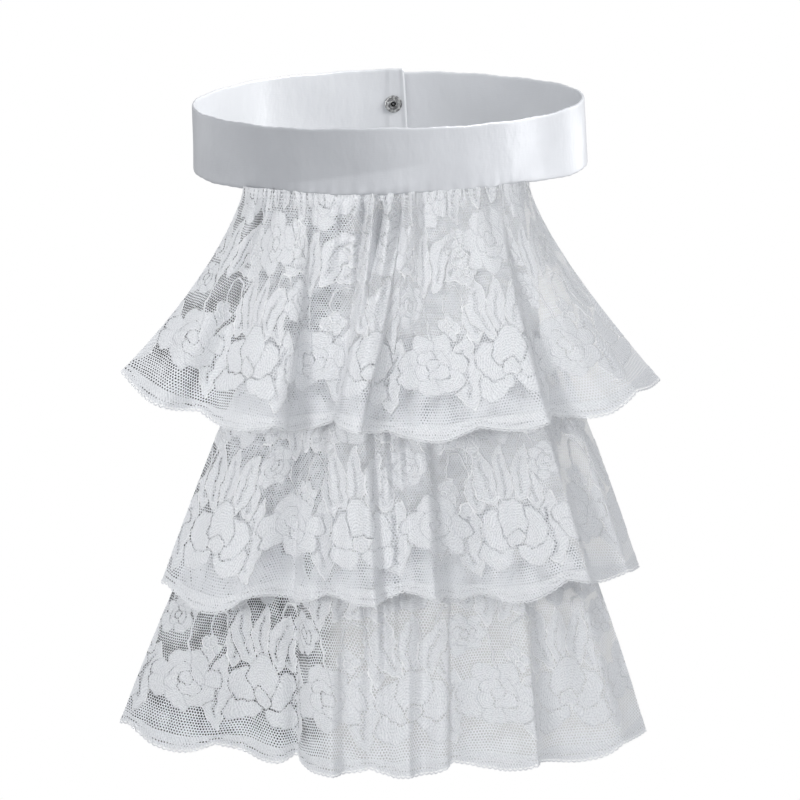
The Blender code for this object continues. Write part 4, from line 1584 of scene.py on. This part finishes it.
@dataclass
class Studio:
    """Camera, lights and the pale floor.

    Attributes:
        pitch: how far the camera looks down.
        aim: the place that the lamps face.
        surround: the soft surround's strength on the left and on the right.
        hole_shade: painted shade that the floor glows with where it is seen through lace, as (from X, to X,
            shade, shade): dark on the left.
        hole_near: what that painted shade is multiplied by, as (from Y, to Y, factor, factor): darker near
            the jabot.
        hole_right: painted light added to it, as (from X, to X, shade, shade): paler to the right.
        lace_lamps, satin_lamps: the lace is lit from the front left, the satin from the right.
    """

    target_z: float = 0.012
    distance: float = 2.0
    elevation: float = math.radians(10.1)
    camera_x: float = 0.0044
    pitch: float = math.radians(13.352)
    focal: float = 237.6
    sensor: float = 36.0
    floor_z: float = -0.30
    floor_size: float = 12.0
    floor_colour: tuple = (0.72, 0.72, 0.72, 1.0)
    surround_colour: tuple = (0.95, 0.97, 1.0, 1.0)
    surround: tuple = (0.61, 0.78)
    hole_shade: tuple = (-0.034, -0.024, 0.08, 0.66)
    hole_near: tuple = (0.4, 1.1, 0.78, 1.0)
    hole_right: tuple = (0.0, 0.09, 0.0, 0.10)
    aim: tuple = (0.03, -0.05, -0.03)
    lace_lamps: tuple = (
        Lamp("front_left", (-0.85, -1.40, 0.20), (0.3, 0.3), 0.31, 30.0),
        Lamp("front_wide", (0.55, -1.60, -0.05), (2.0, 1.6), 5.0))
    satin_lamps: tuple = (
        Lamp("over_front", (0.95, -0.75, 0.95), (0.5, 0.5), 12.0),
        Lamp("strip_left", (-1.17, 0.35, -0.05), (1.8, 0.5), 1.3),
        Lamp("side_right", (1.10, -0.28, 0.70), (0.6, 0.6), 7.0),
        Lamp("strip_right", (1.17, -0.34, -0.05), (0.12, 0.5), 1.0),
        Lamp("back_right", (1.08, 0.97, -0.05), (0.6, 0.5), 1.3))

    def camera(self) -> None:
        """A long lens, a little above the neck ring."""
        data = bpy.data.cameras.new("studio_camera")
        data.lens = self.focal
        data.sensor_width = self.sensor
        camera = bpy.data.objects.new("studio_camera", data)
        camera.location = (self.camera_x, -self.distance * math.cos(self.elevation),
                           self.target_z + self.distance * math.sin(self.elevation))
        camera.rotation_euler = (math.pi / 2 - self.pitch, 0.0, 0.0)
        bpy.context.scene.collection.objects.link(camera)
        bpy.context.scene.camera = camera

    def light(self, lamp: Lamp, lit: Sequence[Piece]) -> None:
        """Sets up a lamp that faces the jabot and lights some pieces only.

        Args:
            lamp: the lamp.
            lit: the pieces that it lights.
        """
        data = bpy.data.lights.new(lamp.name, "AREA")
        data.shape = "RECTANGLE"
        data.size, data.size_y = lamp.size
        data.energy = lamp.power
        data.spread = math.radians(lamp.spread)
        stand = bpy.data.objects.new(lamp.name, data)
        stand.location = lamp.place
        aim = Vector(self.aim) - Vector(lamp.place)
        stand.rotation_euler = aim.to_track_quat("-Z", "Y").to_euler()
        bpy.context.scene.collection.objects.link(stand)
        group = bpy.data.collections.new(lamp.name + "_lights")
        for piece in lit:
            group.objects.link(piece)
        stand.light_linking.receiver_collection = group

    def world(self) -> None:
        """A soft surround, dimmer on the left."""
        g = Graph("studio_surround", bpy.data.worlds)
        bpy.context.scene.world = g.owner
        level = g.ramp(g.axes(g.add("TexCoord").outputs["Generated"])["X"], -1.0, 1.0, *self.surround)
        glow = g.add("Background", self.surround_colour, level)
        g.add("OutputWorld", glow.outputs[0])

    def floor(self) -> Piece:
        """Lays the pale floor, which shows white, and glows with painted shade where it is seen through
        lace.

        Returns:
            The floor.
        """
        bpy.ops.mesh.primitive_plane_add(size=self.floor_size, location=(0.0, 0.0, self.floor_z))
        floor = bpy.context.object
        floor.name = "studio_floor"
        g = Graph("pale_floor")
        place, rays = g.axes(g.object_place()), g.add("LightPath").outputs
        left, near, right = (g.ramp(place[axis], *ramp) for axis, ramp in (
            ("X", self.hole_shade), ("Y", self.hole_near), ("X", self.hole_right)))
        # Seen through lace, the floor glows at the painted shade level instead of white.
        through = g.math("GREATER_THAN", rays["Transparent Depth"], 0.5)
        level = g.add("Mix", through, data_type="FLOAT", in2=1.0, in3=g.scaled(left, near, right))
        glow = g.add("Emission", Strength=level.outputs[0])
        pale = g.add("BsdfPrincipled", Base_Color=self.floor_colour, Roughness=0.9)
        seen = g.add("MixShader", rays["Is Camera Ray"], pale.outputs[0], glow.outputs[0])
        g.add("OutputMaterial", seen.outputs[0])
        floor.data.materials.append(g.owner)
        return floor

    def build(self, satin: Sequence[Piece], lace: Sequence[Piece]) -> None:
        """Sets up the whole studio.

        Args:
            satin: the satin pieces.
            lace: all the other pieces.
        """
        self.camera()
        self.world()
        for lamps, lit in ((self.lace_lamps, lace), (self.satin_lamps, satin)):
            for lamp in lamps:
                self.light(lamp, lit)
        self.floor()
        bpy.context.scene.view_settings.view_transform = "Standard"


def dress(piece: Piece, slot: str, *nodes: str) -> None:
    """Sets a piece on the part's one body, hides the solids that it replaces and logs what it stands for.

    Args:
        piece: the piece.
        slot: not used.
        *nodes: the solids that it replaces.
    """
    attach(piece, "root")
    if nodes:
        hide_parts(*nodes)
    stands_for = ", ".join(nodes) or "nothing"
    LOG.info("%s: %d faces, stands for %s", piece.name, len(piece.data.polygons), stands_for)


def main() -> None:
    """Builds the jabot from the neck down, then the studio."""
    logging.basicConfig(level=logging.INFO, format="%(name)s: %(message)s")
    bpy.ops.object.select_all(action="DESELECT")
    chart = LaceChart()
    lace, net, satin, thread, nickel = (kind().make() for kind in (
        LaceFinish, NetFinish, SatinFinish, ThreadFinish, NickelFinish))
    band, backing = NeckBand(), Backing()

    strip = band.build(satin)
    dress(strip, "satin", "neck_band")

    panel = backing.build(net, band.lean)
    dress(panel, "net", "backing_panel")

    stud = PressStud()
    for part in STAMPINGS:
        dress(stud.turn(part, nickel), "snap_metal", part.node)
    dress(stud.rivet(nickel), "snap_metal")
    # A near-black nickel for the end in the eyelet's hole: painted shade for its recess.
    tarnish = NickelFinish("tarnished_nickel", bright=(0.06, 0.06, 0.06, 1.0), worn=(0.02, 0.02, 0.02, 1.0))
    dress(stud.bore(tarnish.make()), "snap_metal")

    tiers = (
        LaceTier("top_lace", "lace_tier_top", seam_z=-12.45, flare=1.35, scallop_start=0.0, chart_shift=0.0,
                 folds=TOP_FOLDS, follows_ring=True),
        LaceTier("middle_lace", "lace_tier_middle", seam_z=-66.5, flare=0.85, scallop_start=4.0,
                 chart_shift=37.0, folds=MIDDLE_FOLDS),
        LaceTier("bottom_lace", "lace_tier_bottom", seam_z=-132.5, flare=0.85, scallop_start=5.0,
                 chart_shift=0.0, folds=BOTTOM_FOLDS),
    )
    for tier in tiers:
        piece, edging = tier.build(backing, band.lean, chart, lace, thread)
        dress(piece, "lace", tier.node)
        dress(edging, "lace")

    others = [piece for piece in bpy.context.scene.objects if piece.type == "MESH" and piece is not strip]
    Studio().build([strip], others)


if __name__ == "__main__":
    main()
